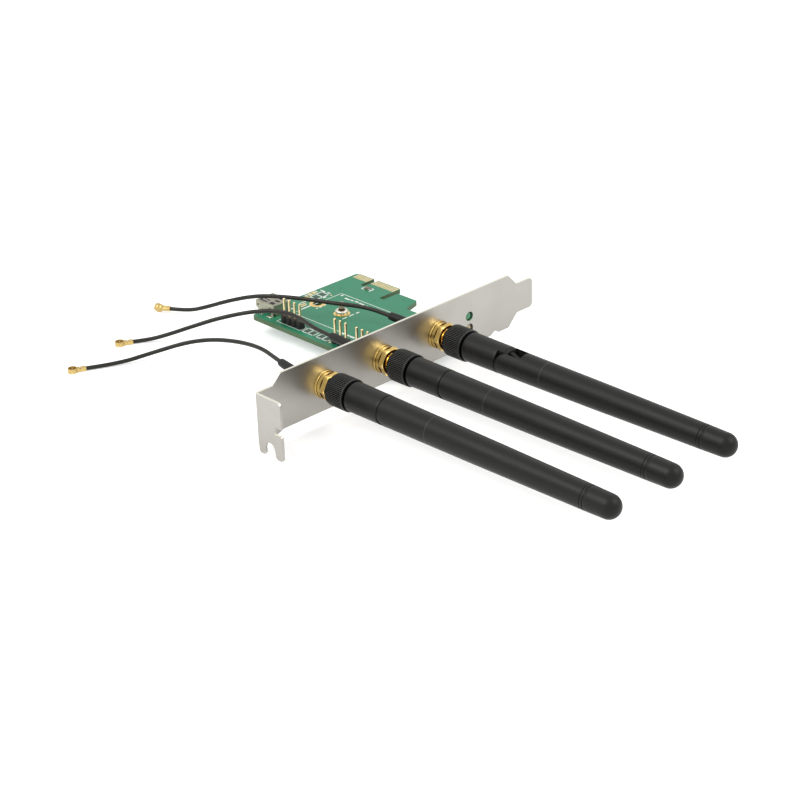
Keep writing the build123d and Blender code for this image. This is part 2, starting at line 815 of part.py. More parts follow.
def antenna_base(y, side):
    front = nut_rear + seat_gap
    shell = turned([
        (front, 0), (front, base_front_radius - base_chamfer), (front + base_chamfer, base_front_radius),
        (base_end, base_rear_radius), (base_end, 0),
    ], 0, 0)
    shell -= rod(stem_radius + press_gap, 0, stem_end + press_gap, 0, 0)
    half = slot_width / 2 - slot_side_gap
    round_end = Rot(90, 0, 0) * Cylinder(tongue_end_radius, 2 * half)
    knuckle = Pos(tilt_axis_x, 0, 0) * round_end
    knuckle += block((base_end - 1, -half, -tongue_end_radius), (tilt_axis_x, half, tongue_end_radius))
    knuckle -= block((base_end + knuckle_relief, -half - 1, knuckle_top), (slot_end, half + 1, slot_end))
    stub_end = base_end + stub_length
    stub = block((base_end - 1, -half, 0), (stub_end, half, base_rear_radius + 1))
    stub = stub & rod(base_rear_radius, base_end - 1, stub_end, 0, 0)
    brow = stub.edges().group_by(Axis.X)[-1].sort_by(Axis.Z)[-1:]
    stub = fillet(brow, stub_round)
    web_top = base_rear_radius - stub_round
    web_outline = [
        (stub_end - web_slope, 0), (stub_end - web_slope, web_top), (stub_end, web_top),
        (tilt_axis_x + web_reach, web_low), (tilt_axis_x + web_reach - web_slope, 0),
    ]
    web = extrude(make_face(Plane.XZ * Polyline(*web_outline, close=True)), web_width / 2, both=True)
    body = shell + knuckle + stub + web
    body -= Pos(tilt_axis_x, 0, 0) * (Rot(90, 0, 0) * Cylinder(hinge_pin_radius + press_gap, 4 * half))
    turn = 0 if side > 0 else 180
    return Pos(0, y, jack_z) * (Rot(turn, 0, 0) * body)


def hinge_pin(y):
    return Pos(tilt_axis_x, y, jack_z) * (Rot(90, 0, 0) * Cylinder(hinge_pin_radius, 2 * hinge_pin_half))


def radome_blank():
    return turned([
        (radome_start, 0), (radome_start, radome_front_radius), (radome_mid, radome_mid_radius),
        (cap_start, radius_at(cap_start)), (cap_start, radome_bore_radius),
        (radome_bore_start, radome_bore_radius), (radome_bore_start, 0),
    ], 0, 0)


def radius_at(x):
    share = (x - radome_mid) / (antenna_tip - radome_mid)
    return radome_mid_radius + share * (cap_end_radius - radome_mid_radius)


def radome_slot():
    half = slot_width / 2
    far = slot_end - slot_floor
    high = 2 * radome_front_radius
    space = block((radome_start - 1, -half, 0), (slot_end, half, high))
    space += block((radome_start - 1, -half, -slot_floor), (far, half, high))
    corner = Pos(far, 0, 0) * (Rot(90, 0, 0) * Cylinder(slot_floor, 2 * half))
    return space + corner


def cheek_corner():
    high = 2 * radome_front_radius
    wide = 2 * radome_front_radius
    corner = block((radome_start - 1, -wide, 0), (tilt_axis_x, wide, high))
    return corner - Pos(tilt_axis_x, 0, 0) * (Rot(90, 0, 0) * Cylinder(cheek_radius, 4 * wide))


def radome(y, side):
    body = radome_blank() - radome_slot() - cheek_corner()
    body -= rod(lead_hole_radius, slot_end - 1, radome_bore_start + 1, 0, 0)
    pin_room = hinge_pin_half + hinge_pin_gap
    pin_hole = Rot(90, 0, 0) * Cylinder(hinge_pin_radius + hinge_pin_gap, 2 * pin_room)
    body -= Pos(tilt_axis_x, 0, 0) * pin_hole
    turn = 0 if side > 0 else 180
    return Pos(0, y, jack_z) * (Rot(turn, 0, 0) * body)


def tip_cap(y):
    ring_end = cap_start + cap_ring
    dome_start = antenna_tip - radius_at(antenna_tip)
    dome_radius = radius_at(antenna_tip)
    groove = cap_groove_width / 2
    body = turned([
        (cap_start, 0), (cap_start, radius_at(cap_start) - cap_groove),
        (cap_start + groove, radius_at(cap_start) - cap_groove), (cap_start + groove, radius_at(cap_start)),
        (ring_end - groove, radius_at(ring_end)), (ring_end - groove, radius_at(ring_end) - cap_groove),
        (ring_end + groove, radius_at(ring_end) - cap_groove), (ring_end + groove, radius_at(ring_end)),
        (dome_start, dome_radius), (dome_start, 0),
    ], y, jack_z)
    body += Pos(dome_start, y, jack_z) * Sphere(dome_radius)
    spigot = rod(radome_bore_radius - cap_spigot_gap, cap_start - cap_spigot_length, cap_start, y, jack_z)
    return body + spigot


def corner_radii(points):
    radii = []
    for before, here, after in zip(points, points[1:], points[2:]):
        first = Vector(*here) - Vector(*before)
        second = Vector(*after) - Vector(*here)
        turn = math.radians(first.get_angle(second))
        radii.append(0.45 * min(first.length, second.length) / math.tan(turn / 2))
    return radii


def tube(points, radius):
    path = FilletPolyline(*points, radius=corner_radii(points))
    start = Plane(origin=points[0], z_dir=Vector(*points[1]) - Vector(*points[0]))
    solid = sweep(start * Circle(radius), path=path)
    share = solid.volume / (math.pi * radius ** 2 * path.length)
    print("tube", round(path.length, 1), "mm, volume ratio", round(share, 4))
    return solid


def lead_plug(route, roll):
    """The snap-on plug, carrying on along the lead's last run, which lies level."""
    last = Vector(*route[-1]) - Vector(*route[-2])
    heading = math.degrees(math.atan2(last.Y, last.X))
    neck = plug_neck_length
    ring = Cylinder(plug_ring_radius, plug_height)
    ring -= Pos(0, 0, plug_floor) * Cylinder(plug_ring_radius - plug_ring_wall, plug_height)
    body = ring + Pos(0, 0, plug_floor / 2) * Cylinder(plug_pin_radius, plug_height - plug_floor)
    start = -(plug_ring_radius - plug_ring_wall / 2) - neck
    barrel = Pos(start + neck / 2, 0, 0) * Box(neck, plug_neck_width, plug_height)
    barrel = fillet(barrel.edges().filter_by(Axis.X), plug_edge_round)
    crimp = Box(plug_crimp_width, 2 * plug_neck_width, 2 * plug_crimp_depth)
    barrel -= Pos(start + neck - plug_crimp_from_ring, 0, plug_height / 2) * crimp
    body += barrel
    body = Pos(-start, 0, 0) * body
    end = route[-1]
    return Pos(*end) * (Rot(0, 0, heading) * (Rot(roll, 0, 0) * body))


def place(shape):
    return Pos(-origin_x, -origin_y, -origin_z) * shape


def all_nodes():
    nodes = {
        "bracket": bracket(),
        "bracket_screws": Compound(children=[bracket_screw(y) for y in ear_places_y]),
        "circuit_board": board(),
        "edge_contacts": edge_contacts(),
        "gold_pads": gold_pads(),
        "module_socket": module_socket(),
        "module_socket_contacts": socket_contacts(),
        "module_standoff": module_standoff(),
        "module_screw": module_screw(),
        "supply_socket_shell": supply_shell(),
        "supply_socket_tongue": supply_tongue(),
        "supply_socket_contacts": supply_contact_strips(),
        "lamp_holder": lamp_holder(),
        "lamp_amber": lamp(lamp_heights[0]),
        "lamp_green": lamp(lamp_heights[1]),
        "lamp_legs": lamp_legs(),
        "board_chips": chips(),
        "header_4_housing": header_housing(header_four_x, 4),
        "header_4_pins": Compound(children=header_pins(header_four_x, 4)),
        "jack_insulators": jack_insulators(),
        "jack_contacts": jack_contacts(),
    }
    nodes["header_3_housings"] = Compound(children=[header_housing(x, 3) for x in header_three_x])
    nodes["header_3_pins"] = Compound(children=[pin for x in header_three_x for pin in header_pins(x, 3)])
    for index in range(jack_count):
        number = str(index + 1)
        y = jack_place(index)
        side = antenna_open_side[index]
        nodes["jack_body_" + number] = jack_body(y)
        nodes["jack_washer_" + number] = jack_washer(y)
        nodes["jack_nut_" + number] = jack_nut(y)
        inward = Pos(-antenna_inset[index], 0, 0)
        nodes["coupling_nut_" + number] = inward * coupling_nut(y)
        nodes["antenna_plug_" + number] = inward * antenna_plug(y)
        nodes["antenna_base_" + number] = inward * antenna_base(y, side)
        nodes["hinge_pin_" + number] = inward * hinge_pin(y)
        nodes["radome_" + number] = inward * radome(y, side)
        nodes["tip_cap_" + number] = inward * tip_cap(y)
        nodes["lead_sleeve_" + number] = tube(sleeve_routes[index], sleeve_radius)
        nodes["lead_" + number] = tube(lead_routes[index], lead_radius)
        nodes["lead_plug_" + number] = lead_plug(lead_routes[index], plug_rolls[index])
    return nodes


def main():
    for name, shape in all_nodes().items():
        export_step(place(shape), os.path.join("parts", name + ".step"))
    print("origin", origin_x, origin_y, origin_z)


main()
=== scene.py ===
import json
import math
import bpy
import bmesh
from mathutils import Matrix, Vector


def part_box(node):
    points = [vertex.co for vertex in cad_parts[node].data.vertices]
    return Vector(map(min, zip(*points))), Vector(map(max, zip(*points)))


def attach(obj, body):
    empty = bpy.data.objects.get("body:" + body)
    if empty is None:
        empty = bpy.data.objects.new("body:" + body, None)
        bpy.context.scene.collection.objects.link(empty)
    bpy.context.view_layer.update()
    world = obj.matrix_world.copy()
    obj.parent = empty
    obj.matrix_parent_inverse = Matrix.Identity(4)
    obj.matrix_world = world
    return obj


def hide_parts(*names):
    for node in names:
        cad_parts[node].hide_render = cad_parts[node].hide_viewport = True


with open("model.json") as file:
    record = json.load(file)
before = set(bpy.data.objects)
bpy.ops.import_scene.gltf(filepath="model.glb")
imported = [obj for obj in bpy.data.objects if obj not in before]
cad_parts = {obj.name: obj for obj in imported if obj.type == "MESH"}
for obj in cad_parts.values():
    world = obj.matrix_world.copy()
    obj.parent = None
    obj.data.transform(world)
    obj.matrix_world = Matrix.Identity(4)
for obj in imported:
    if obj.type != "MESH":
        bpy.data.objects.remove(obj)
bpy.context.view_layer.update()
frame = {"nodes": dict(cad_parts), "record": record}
nodes = frame["nodes"]
bodies = frame["record"]["behaviour"]["bodies"]
bodyOf = {node: body for body, names in bodies.items() for node in names}
# the frame's origin, in millimetres from the plate's outer face, the flange and the plate's lower edge
frameOrigin = (23.8, 60.01, -3.8)


def at(x, y, z):
    # millimetres counted as above, turned into a place in the frame
    return Vector([(value - zero) / 1000 for value, zero in zip((x, y, z), frameOrigin)])


def sidesOf(nodeName, axis):
    # how low and how high a node reaches along an axis, in the same millimetres
    return [corner[axis] * 1000 + frameOrigin[axis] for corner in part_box(nodeName)]


# lines of the three jacks and the board's two faces
jackY = [sum(sidesOf("jack_body_" + number, 1)) / 2 for number in "123"]
jackZ = sum(sidesOf("jack_body_1", 2)) / 2
boardBottom, boardTop = sidesOf("circuit_board", 2)
print("frame loaded,", len(nodes), "nodes")


# camera

cameraValues = {
    "place": at(402.54, -326.19, 265.95),
    "turn": -43.67,
    "rise": 26.217,
    "roll": -1.876,
    "lens": 88.67,
    "sensor": 36,
    "near": 0.01,
    "far": 20,
}


def setCamera(values):
    data = bpy.data.cameras.new("photoCamera")
    data.lens = values["lens"]
    data.sensor_width = values["sensor"]
    data.clip_start = values["near"]
    data.clip_end = values["far"]
    camera = bpy.data.objects.new("photoCamera", data)
    bpy.context.scene.collection.objects.link(camera)
    turn = Matrix.Rotation(math.radians(90 + values["turn"]), 4, "Z")
    tip = Matrix.Rotation(math.radians(90 - values["rise"]), 4, "X")
    roll = Matrix.Rotation(math.radians(values["roll"]), 4, "Z")
    camera.matrix_world = Matrix.Translation(values["place"]) @ turn @ tip @ roll
    bpy.context.scene.camera = camera


setCamera(cameraValues)
print("camera placed")


# small tools for pieces

meshValues = {
    # how near two corners are joined, in metres, on new pieces and on CAD copies
    "weld": 1e-6,
    "copyWeld": 2e-6,
    # faces nearly in one plane are merged, and edges sharper than this are rounded
    "flatAngle": 0.8,
    "sharpAngle": 35,
}


def addPiece(name, mesh, body, smoothAngle=None):
    piece = bpy.data.objects.new(name, mesh)
    bpy.context.scene.collection.objects.link(piece)
    if smoothAngle is not None:
        mesh.shade_smooth()
        mesh.set_sharp_from_angle(angle=math.radians(smoothAngle))
    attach(piece, body)
    return piece


def finishPiece(bm, name, body, smoothAngle=None):
    bmesh.ops.remove_doubles(bm, verts=bm.verts, dist=meshValues["weld"])
    bmesh.ops.recalc_face_normals(bm, faces=bm.faces)
    mesh = bpy.data.meshes.new(name)
    bm.to_mesh(mesh)
    bm.free()
    return addPiece(name, mesh, body, smoothAngle)


def roundEdges(bm, edges, width, segments=2, clamp=False):
    bmesh.ops.bevel(bm, geom=edges, offset=width / 1000, segments=segments, profile=0.5,
                    affect="EDGES", clamp_overlap=clamp, material=-1)


def edgesOf(made):
    return list({e for v in made["verts"] for e in v.link_edges})


def addBlock(bm, low, high, edge=0.0):
    # a block between two corners, in millimetres on the card, its edges rounded by edge
    a = at(*low)
    b = at(*high)
    size = b - a
    place = Matrix.Translation((a + b) / 2) @ Matrix.Diagonal((size.x, size.y, size.z, 1))
    made = bmesh.ops.create_cube(bm, size=1, matrix=place)
    if edge > 0:
        roundEdges(bm, edgesOf(made), edge)


def addPlates(bm, boxes, bottom, thickness, edge=0.0):
    # flat blocks on one level, each box as low x, low y, high x, high y
    for lowX, lowY, highX, highY in boxes:
        addBlock(bm, (lowX, lowY, bottom), (highX, highY, bottom + thickness), edge)


def addCircle(bm, place, radius, count):
    return edgesOf(bmesh.ops.create_circle(bm, cap_ends=False, segments=count, radius=radius / 1000,
                                           matrix=place))


def addRing(bm, centre, radius, axis, count):
    # a circle of edges about an axis, centre and radius in millimetres
    turn = Vector((0, 0, 1)).rotation_difference(Vector(axis)).to_matrix().to_4x4()
    return addCircle(bm, Matrix.Translation(at(*centre)) @ turn, radius, count)


def bridgeRings(bm, rings):
    for one, two in zip(rings, rings[1:]):
        bmesh.ops.bridge_loops(bm, edges=one + two)


def closeRings(bm, *rings):
    for ring in rings:
        bmesh.ops.holes_fill(bm, edges=ring, sides=0)


def addTurned(bm, profile, y, count):
    # rings about a jack's line, each (x, radius), bridged one to the next
    rings = [addRing(bm, (x, y, jackZ), radius, (1, 0, 0), count) for x, radius in profile]
    bridgeRings(bm, rings)
    return rings


def addUpright(bm, x, y, profile, count):
    # rings about an upright line, each (z, radius), bridged one to the next
    rings = [addRing(bm, (x, y, z), radius, (0, 0, 1), count) for z, radius in profile]
    bridgeRings(bm, rings)
    return rings


def softened(nodeName, width):
    # a copy of a CAD node: its loose triangles joined and its sharp edges rounded
    bm = bmesh.new()
    bm.from_mesh(nodes[nodeName].data)
    bmesh.ops.remove_doubles(bm, verts=bm.verts, dist=meshValues["copyWeld"])
    bmesh.ops.dissolve_limit(bm, angle_limit=math.radians(meshValues["flatAngle"]), verts=bm.verts,
                             edges=bm.edges)
    sharpest = math.radians(meshValues["sharpAngle"])
    sharp = [e for e in bm.edges if len(e.link_faces) == 2 and e.calc_face_angle() > sharpest]
    roundEdges(bm, sharp, width, clamp=True)
    bmesh.ops.triangulate(bm, faces=[f for f in bm.faces if len(f.verts) > 4])
    mesh = bpy.data.meshes.new(nodeName + "_soft")
    bm.to_mesh(mesh)
    bm.free()
    piece = addPiece(nodeName + "_soft", mesh, bodyOf[nodeName], meshValues["sharpAngle"])
    weighted = piece.modifiers.new("weighted", "WEIGHTED_NORMAL")
    weighted.mode = "FACE_AREA"
    weighted.weight = 100
    weighted.keep_sharp = True
    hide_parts(nodeName)
    return piece


# cords: the leads, their sleeves and where they go

sleeveRoutes = (
    ((-6.5, 27.1, 8.7), (-15.6, 27.1, 8.7), (-25.2, 29.4, 8.5)),
    ((-6.5, 51.45, 8.7), (-15.2, 51.45, 8.7), (-24.4, 52.2, 8.6)),
    ((-6.5, 75.8, 8.7), (-14.0, 75.8, 8.7), (-21.4, 75.3, 8.9)),
)
leadRoutes = (
    ((-25.2, 29.4, 8.5), (-34.8, 31.8, 8.3), (-46.0, 32.2, 6.9), (-57.9, 30.8, 4.6),
     (-67.4, 27.2, 1.8), (-75.4, 18.9, -1.6), (-79.6, 8.4, -3.05), (-84.6, -0.8, -3.05)),
    ((-24.4, 52.2, 8.6), (-33.6, 52.9, 8.5), (-43.2, 54.9, 8.95), (-51.0, 54.3, 8.8), (-58.6, 50.0, 8.1),
     (-67.5, 42.4, 5.6), (-74.6, 35.6, 2.5), (-82.2, 31.0, -1.2), (-87.0, 26.9, -3.05),
     (-89.8, 22.2, -3.05)),
    ((-21.4, 75.3, 8.9), (-31.76, 74.6, 9.22), (-42.3, 68.6, 9.6), (-50.2, 64.9, 9.9), (-58.6, 61.2, 9.6),
     (-66.6, 57.2, 8.9), (-77.2, 54.4, 5.1), (-87.2, 51.2, 0.6), (-94.2, 49.5, -2.05),
     (-100.1, 46.4, -2.05)),
)
leadValues = {
    "diameter": 1.37,
    "lengths": (96.4, 97.1, 101.2),
    "stiffness": "medium",
    # points on each stretch of a route's line, and how far apart the jacket's rings are
    "lineSteps": 14,
    "ringStep": 0.45,
    "sides": 16,
    # how much the jacket's radius wavers, as a share of it, and how fast
    "waver": 0.008,
    "waverRate": 0.37,
    "plugEdge": 0.06,
}
sleeveValues = {
    "lengths": (15.4, 17.9, 14.9),
    "radius": 1.4,
    "sides": 20,
    # the near end as distance and share of the radius, the far lip as distance from the end and drop
    "mouth": ((0.02, 0.9), (0.3, 1.0)),
    "lip": ((0.5, 0.08), (0.15, 0.16), (0.0, 0.42)),
    # rings between the two ends, how much they swell and narrow, and the length the ends take
    "steps": 14,
    "swell": 0.04,
    "swellRate": 9.0,
    "narrowing": 0.05,
    "ends": 1.0,
}


def routeLine(name, points):
    # the smooth line of a route, read from a curve with no thickness
    data = bpy.data.curves.new(name, "CURVE")
    data.dimensions = "3D"
    data.resolution_u = leadValues["lineSteps"]
    spline = data.splines.new("NURBS")
    spline.points.add(len(points) - 1)
    for point, place in zip(spline.points, points):
        point.co = (*at(*place), 1)
    spline.order_u = 3
    spline.use_endpoint_u = True
    curve = bpy.data.objects.new(name, data)
    line = bpy.data.meshes.new_from_object(curve)
    places = [v.co.copy() for v in line.vertices]
    bpy.data.meshes.remove(line)
    bpy.data.objects.remove(curve)
    bpy.data.curves.remove(data)
    return places


def distancesAlong(points):
    lengths = [0.0]
    for a, b in zip(points, points[1:]):
        lengths.append(lengths[-1] + (b - a).length)
    return lengths


def tubeAlong(bm, points, profile, count):
    # rings along a line: profile holds (distance along the line, radius) in millimetres
    lengths = distancesAlong(points)
    rings = []
    for distance, radius in profile:
        want = distance / 1000
        index = 0
        while index < len(lengths) - 2 and lengths[index + 1] < want:
            index += 1
        share = (want - lengths[index]) / (lengths[index + 1] - lengths[index])
        heading = (points[index + 1] - points[index]).normalized()
        place = points[index].lerp(points[index + 1], share)
        turn = heading.to_track_quat("Z", "Y").to_matrix().to_4x4()
        rings.append(addCircle(bm, Matrix.Translation(place) @ turn, radius, count))
    bridgeRings(bm, rings)
    closeRings(bm, rings[0], rings[-1])


def makeSleeve(name, line, length):
    # shrunk tube: a little loose at the far end, with a rounded lip
    values = sleeveValues
    radius = values["radius"]
    start = values["mouth"][-1][0]
    profile = [(distance, radius * share) for distance, share in values["mouth"]]
    for i in range(1, values["steps"]):
        share = i / values["steps"]
        swell = values["swell"] * math.sin(share * values["swellRate"]) - values["narrowing"] * share
        profile.append((start + share * (length - values["ends"]), radius + swell))
    profile += [(length - back, radius - drop) for back, drop in values["lip"]]
    bm = bmesh.new()
    tubeAlong(bm, line, profile, values["sides"])
    return finishPiece(bm, name, "card", smoothAngle=40)


def makeLead(name, line):
    # a thin round cable, its jacket a hair uneven along its length
    values = leadValues
    radius = values["diameter"] / 2
    whole = distancesAlong(line)[-1] * 1000
    steps = int(whole / values["ringStep"])
    profile = [(whole * i / steps, radius * (1 + values["waver"] * math.sin(i * values["waverRate"])))
               for i in range(steps + 1)]
    bm = bmesh.new()
    tubeAlong(bm, line, profile, values["sides"])
    return finishPiece(bm, name, "card", smoothAngle=60)


leads = []
sleeves = []
softPieces = {}
for i in range(3):
    number = str(i + 1)
    route = sleeveRoutes[i] + leadRoutes[i][1:]
    line = routeLine("route_" + number, route)
    lead = makeLead("lead_cable_" + number, line)
    sleeve = makeSleeve("shrink_sleeve_" + number, line, sleeveValues["lengths"][i])
    plug = softened("lead_plug_" + number, leadValues["plugEdge"])
    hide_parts("lead_" + number)
    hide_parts("lead_sleeve_" + number)
    leads.append(lead)
    sleeves.append(sleeve)
    softPieces["lead_plug_" + number] = plug
print("leads laid")


# sheet metal, nuts and moulded parts with their edges rounded

softEdges = {
    # node: width of the rounding, in millimetres
    "bracket": 0.13, "supply_socket_shell": 0.06, "module_socket": 0.06, "header_4_housing": 0.08,
    "header_3_housings": 0.08, "module_standoff": 0.05, "bracket_screws": 0.06, "header_4_pins": 0.05,
    "header_3_pins": 0.05, "lamp_holder": 0.1,
}
for number in "123":
    softEdges.update({
        "jack_washer_" + number: 0.07, "jack_nut_" + number: 0.1,
        "antenna_base_" + number: 0.14, "radome_" + number: 0.14, "tip_cap_" + number: 0.06,
    })
softPieces.update({name: softened(name, width) for name, width in softEdges.items()})
print("edges rounded")


# jack barrels with their thread

jackValues = {
    # the thread: radii of its crest and root, where it runs and how fine its helix is
    "crest": 3.125,
    "root": 2.72,
    "pitch": 0.706,
    "threadStart": 0.4,
    "threadEnd": 9.4,
    "steps": 28,
    # half of a ridge's foot as a share of the pitch, and half of its crest
    "footShare": 0.46,
    "crestHalf": 0.06,
    # the turned core and the crimped end as distance from the plate and radius
    "core": ((-0.86, 3.05), (0.4, 3.05), (0.45, 2.74), (9.45, 2.74), (9.75, 2.5), (9.8, 2.32),
             (9.7, 2.3), (2.6, 2.3)),
    "coreSides": 56,
    "crimp": ((-3.06, 1.72), (-3.5, 1.9), (-6.2, 1.9), (-6.5, 1.7)),
    "crimpSides": 32,
    # the hexagon behind the plate: its rear face is turned off towards the corners
    "hexFlats": 8.0,
    "hexStart": -3.06,
    "hexEnd": -0.86,
    "hexFace": 3.2,
    "hexTurned": ((0.02, 0.35), (0.3, 0.0)),
}


def addThread(bm, values, y):
    # a small pointed profile carried round in a helix
    start = values["threadStart"]
    turns = (values["threadEnd"] - start) / values["pitch"]
    foot = values["pitch"] * values["footShare"]
    crest = values["crestHalf"]
    corners = ((start - foot, values["root"]), (start - crest, values["crest"]),
               (start + crest, values["crest"]), (start + foot, values["root"]))
    ridge = [bm.verts.new(at(x, y, jackZ + radius)) for x, radius in corners]
    outline = [bm.edges.new((a, b)) for a, b in zip(ridge, ridge[1:])]
    bmesh.ops.spin(bm, geom=ridge + outline, cent=at(0, y, jackZ), axis=(1, 0, 0),
                   angle=turns * 2 * math.pi, dvec=(values["pitch"] / 1000 / values["steps"], 0, 0),
                   steps=int(turns * values["steps"]))


def makeJack(index):
    values = jackValues
    y = jackY[index]
    number = str(index + 1)
    bm = bmesh.new()
    rings = addTurned(bm, values["core"], y, values["coreSides"])
    closeRings(bm, rings[-1])
    addThread(bm, values, y)
    corner = values["hexFlats"] / 2 / math.cos(math.pi / 6)
    shape = [(values["hexStart"], values["hexFace"])]
    shape += [(values["hexStart"] + along, corner - drop) for along, drop in values["hexTurned"]]
    rings = addTurned(bm, shape + [(values["hexEnd"], corner)], y, 6)
    closeRings(bm, rings[0], rings[-1])
    rings = addTurned(bm, values["crimp"], y, values["crimpSides"])
    closeRings(bm, rings[-1])
    piece = finishPiece(bm, "jack_barrel_" + number, "card", smoothAngle=35)
    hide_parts("jack_body_" + number)
    return piece


jacks = [makeJack(i) for i in range(3)]
print("jacks cut")


# ribs of the coupling nuts

ribValues = {
    "count": 58,
    # how much nearer to the plate each antenna sits than the values below say
    "insets": (1.3, 0.0, 0.0),
    # where on its rib each ridge sits, as a share of the rib's pitch
    "share": 0.25,
    "start": 6.9,
    "end": 13.42,
    "low": 5.0,
    "high": 5.2,
    "width": 0.17,
    "edge": 0.03,
    # the thin lip behind the ribs as distance from the plate and radius
    "lip": ((13.36, 5.0), (13.44, 5.19), (13.58, 5.19), (13.66, 4.85)),
    "lipSides": 72,
}


def makeRibs(index):
    values = ribValues
    y = jackY[index]
    inset = values["insets"][index]
    number = str(index + 1)
    middle = Matrix.Translation(at((values["start"] + values["end"]) / 2 - inset, y, jackZ))
    length = (values["end"] - values["start"]) / 1000
    height = (values["high"] - values["low"]) / 1000
    outwards = Matrix.Translation((0, (values["high"] + values["low"]) / 2000, 0))
    size = Matrix.Diagonal((length, height, values["width"] / 1000, 1))
    bm = bmesh.new()
    for i in range(values["count"]):
        angle = 2 * math.pi * (i + values["share"]) / values["count"]
        place = middle @ Matrix.Rotation(angle, 4, "X") @ outwards @ size
        bmesh.ops.create_cube(bm, size=1, matrix=place)
    roundEdges(bm, list(bm.edges), values["edge"], segments=1)
    addTurned(bm, [(x - inset, radius) for x, radius in values["lip"]], y, values["lipSides"])
    return finishPiece(bm, "nut_ribs_" + number, bodyOf["coupling_nut_" + number], smoothAngle=35)


nutRibs = [makeRibs(i) for i in range(3)]
print("nuts ribbed")


# white print on the board, plain lines, boxes and bars

printValues = {
    "thickness": 0.025,
    "line": 0.24,
    "frame": 0.36,
    "dash": 0.5,
    # outline of the module's place, as x, x, y
    "outline": ((-18.9, -57.4, 65.0), (-18.9, -57.4, 87.0)),
    "outlineEnd": (-57.4, 65.0, 87.0),
    # the line round the four-pin header
    "headerBox": (-56.6, 56.9, -45.0, 59.9),
    # framed places of small parts as low x, low y, high x, high y
    "boxes": ((-44.2, 57.0, -38.9, 60.1), (-37.5, 57.1, -32.2, 59.9),
              (-63.4, 77.9, -60.0, 80.7), (-63.4, 80.7, -60.0, 83.5)),
    "middles": ((-41.6, 57.0, -41.6, 60.1), (-34.85, 57.1, -34.85, 59.9)),
    # dashes as centre x, centre y, length along y
    "dashes": ((-41.4, 73.5, 2.1), (-41.4, 76.6, 2.2), (-41.4, 79.4, 1.5),
               (-54.3, 72.9, 0.9), (-54.2, 74.5, 1.2), (-54.3, 76.4, 1.3), (-54.4, 80.0, 0.8)),
    # short printed bars as low x, low y, high x, high y
    "bars": ((-56.3, 85.5, -55.6, 86.4), (-53.6, 84.7, -51.3, 85.4), (-50.9, 84.9, -49.6, 85.5),
             (-49.1, 85.2, -47.4, 85.8), (-46.8, 85.0, -44.3, 85.6), (-43.6, 85.0, -42.3, 85.6),
             (-48.6, 61.7, -46.4, 62.2), (-41.6, 60.9, -40.2, 61.4), (-33.9, 64.2, -32.0, 64.9),
             (-31.0, 64.3, -29.8, 64.9), (-29.4, 64.3, -27.3, 64.9), (-25.8, 63.2, -24.0, 63.8),
             (-22.6, 63.2, -20.8, 63.8), (-31.0, 60.3, -30.3, 61.2),
             (-64.9, 83.9, -62.6, 84.5), (-61.6, 84.2, -60.2, 84.7), (-59.6, 80.2, -58.9, 81.6),
             (-66.1, 77.6, -64.2, 78.0), (-66.1, 82.3, -64.4, 82.7),
             (-57.9, 68.6, -57.5, 73.2), (-61.8, 71.5, -61.4, 74.6), (-66.1, 58.7, -65.4, 59.6)),
    # short lines at the corners of the small part near the contacts
    "corners": ((-55.6, 94.4, -55.1, 96.8), (-51.9, 94.4, -51.4, 96.8), (-54.8, 94.2, -54.2, 94.6),
                (-52.7, 96.6, -52.1, 97.0)),
}


def addLine(bm, x0, y0, x1, y1, width):
    # a straight printed line along x or y
    half = width / 2
    box = (min(x0, x1) - half, min(y0, y1) - half, max(x0, x1) + half, max(y0, y1) + half)
    addPlates(bm, [box], boardTop, printValues["thickness"])


def addFrame(bm, box, width):
    x0, y0, x1, y1 = box
    for ends in ((x0, y0, x1, y0), (x0, y1, x1, y1), (x0, y0, x0, y1), (x1, y0, x1, y1)):
        addLine(bm, *ends, width)


def makePrint(values):
    bm = bmesh.new()
    line = values["line"]
    for x0, x1, y in values["outline"]:
        addLine(bm, x0, y, x1, y, line)
    x, y0, y1 = values["outlineEnd"]
    addLine(bm, x, y0, x, y1, line)
    addFrame(bm, values["headerBox"], line)
    for box in values["boxes"]:
        addFrame(bm, box, values["frame"])
    for row in values["middles"]:
        addLine(bm, *row, values["frame"])
    for x, y, length in values["dashes"]:
        half = (length - values["dash"]) / 2
        addLine(bm, x, y - half, x, y + half, values["dash"])
    addPlates(bm, values["bars"] + values["corners"], boardTop, values["thickness"])
    return finishPiece(bm, "board_print", "card")


boardPrint = makePrint(printValues)


# small gold pads and plated holes

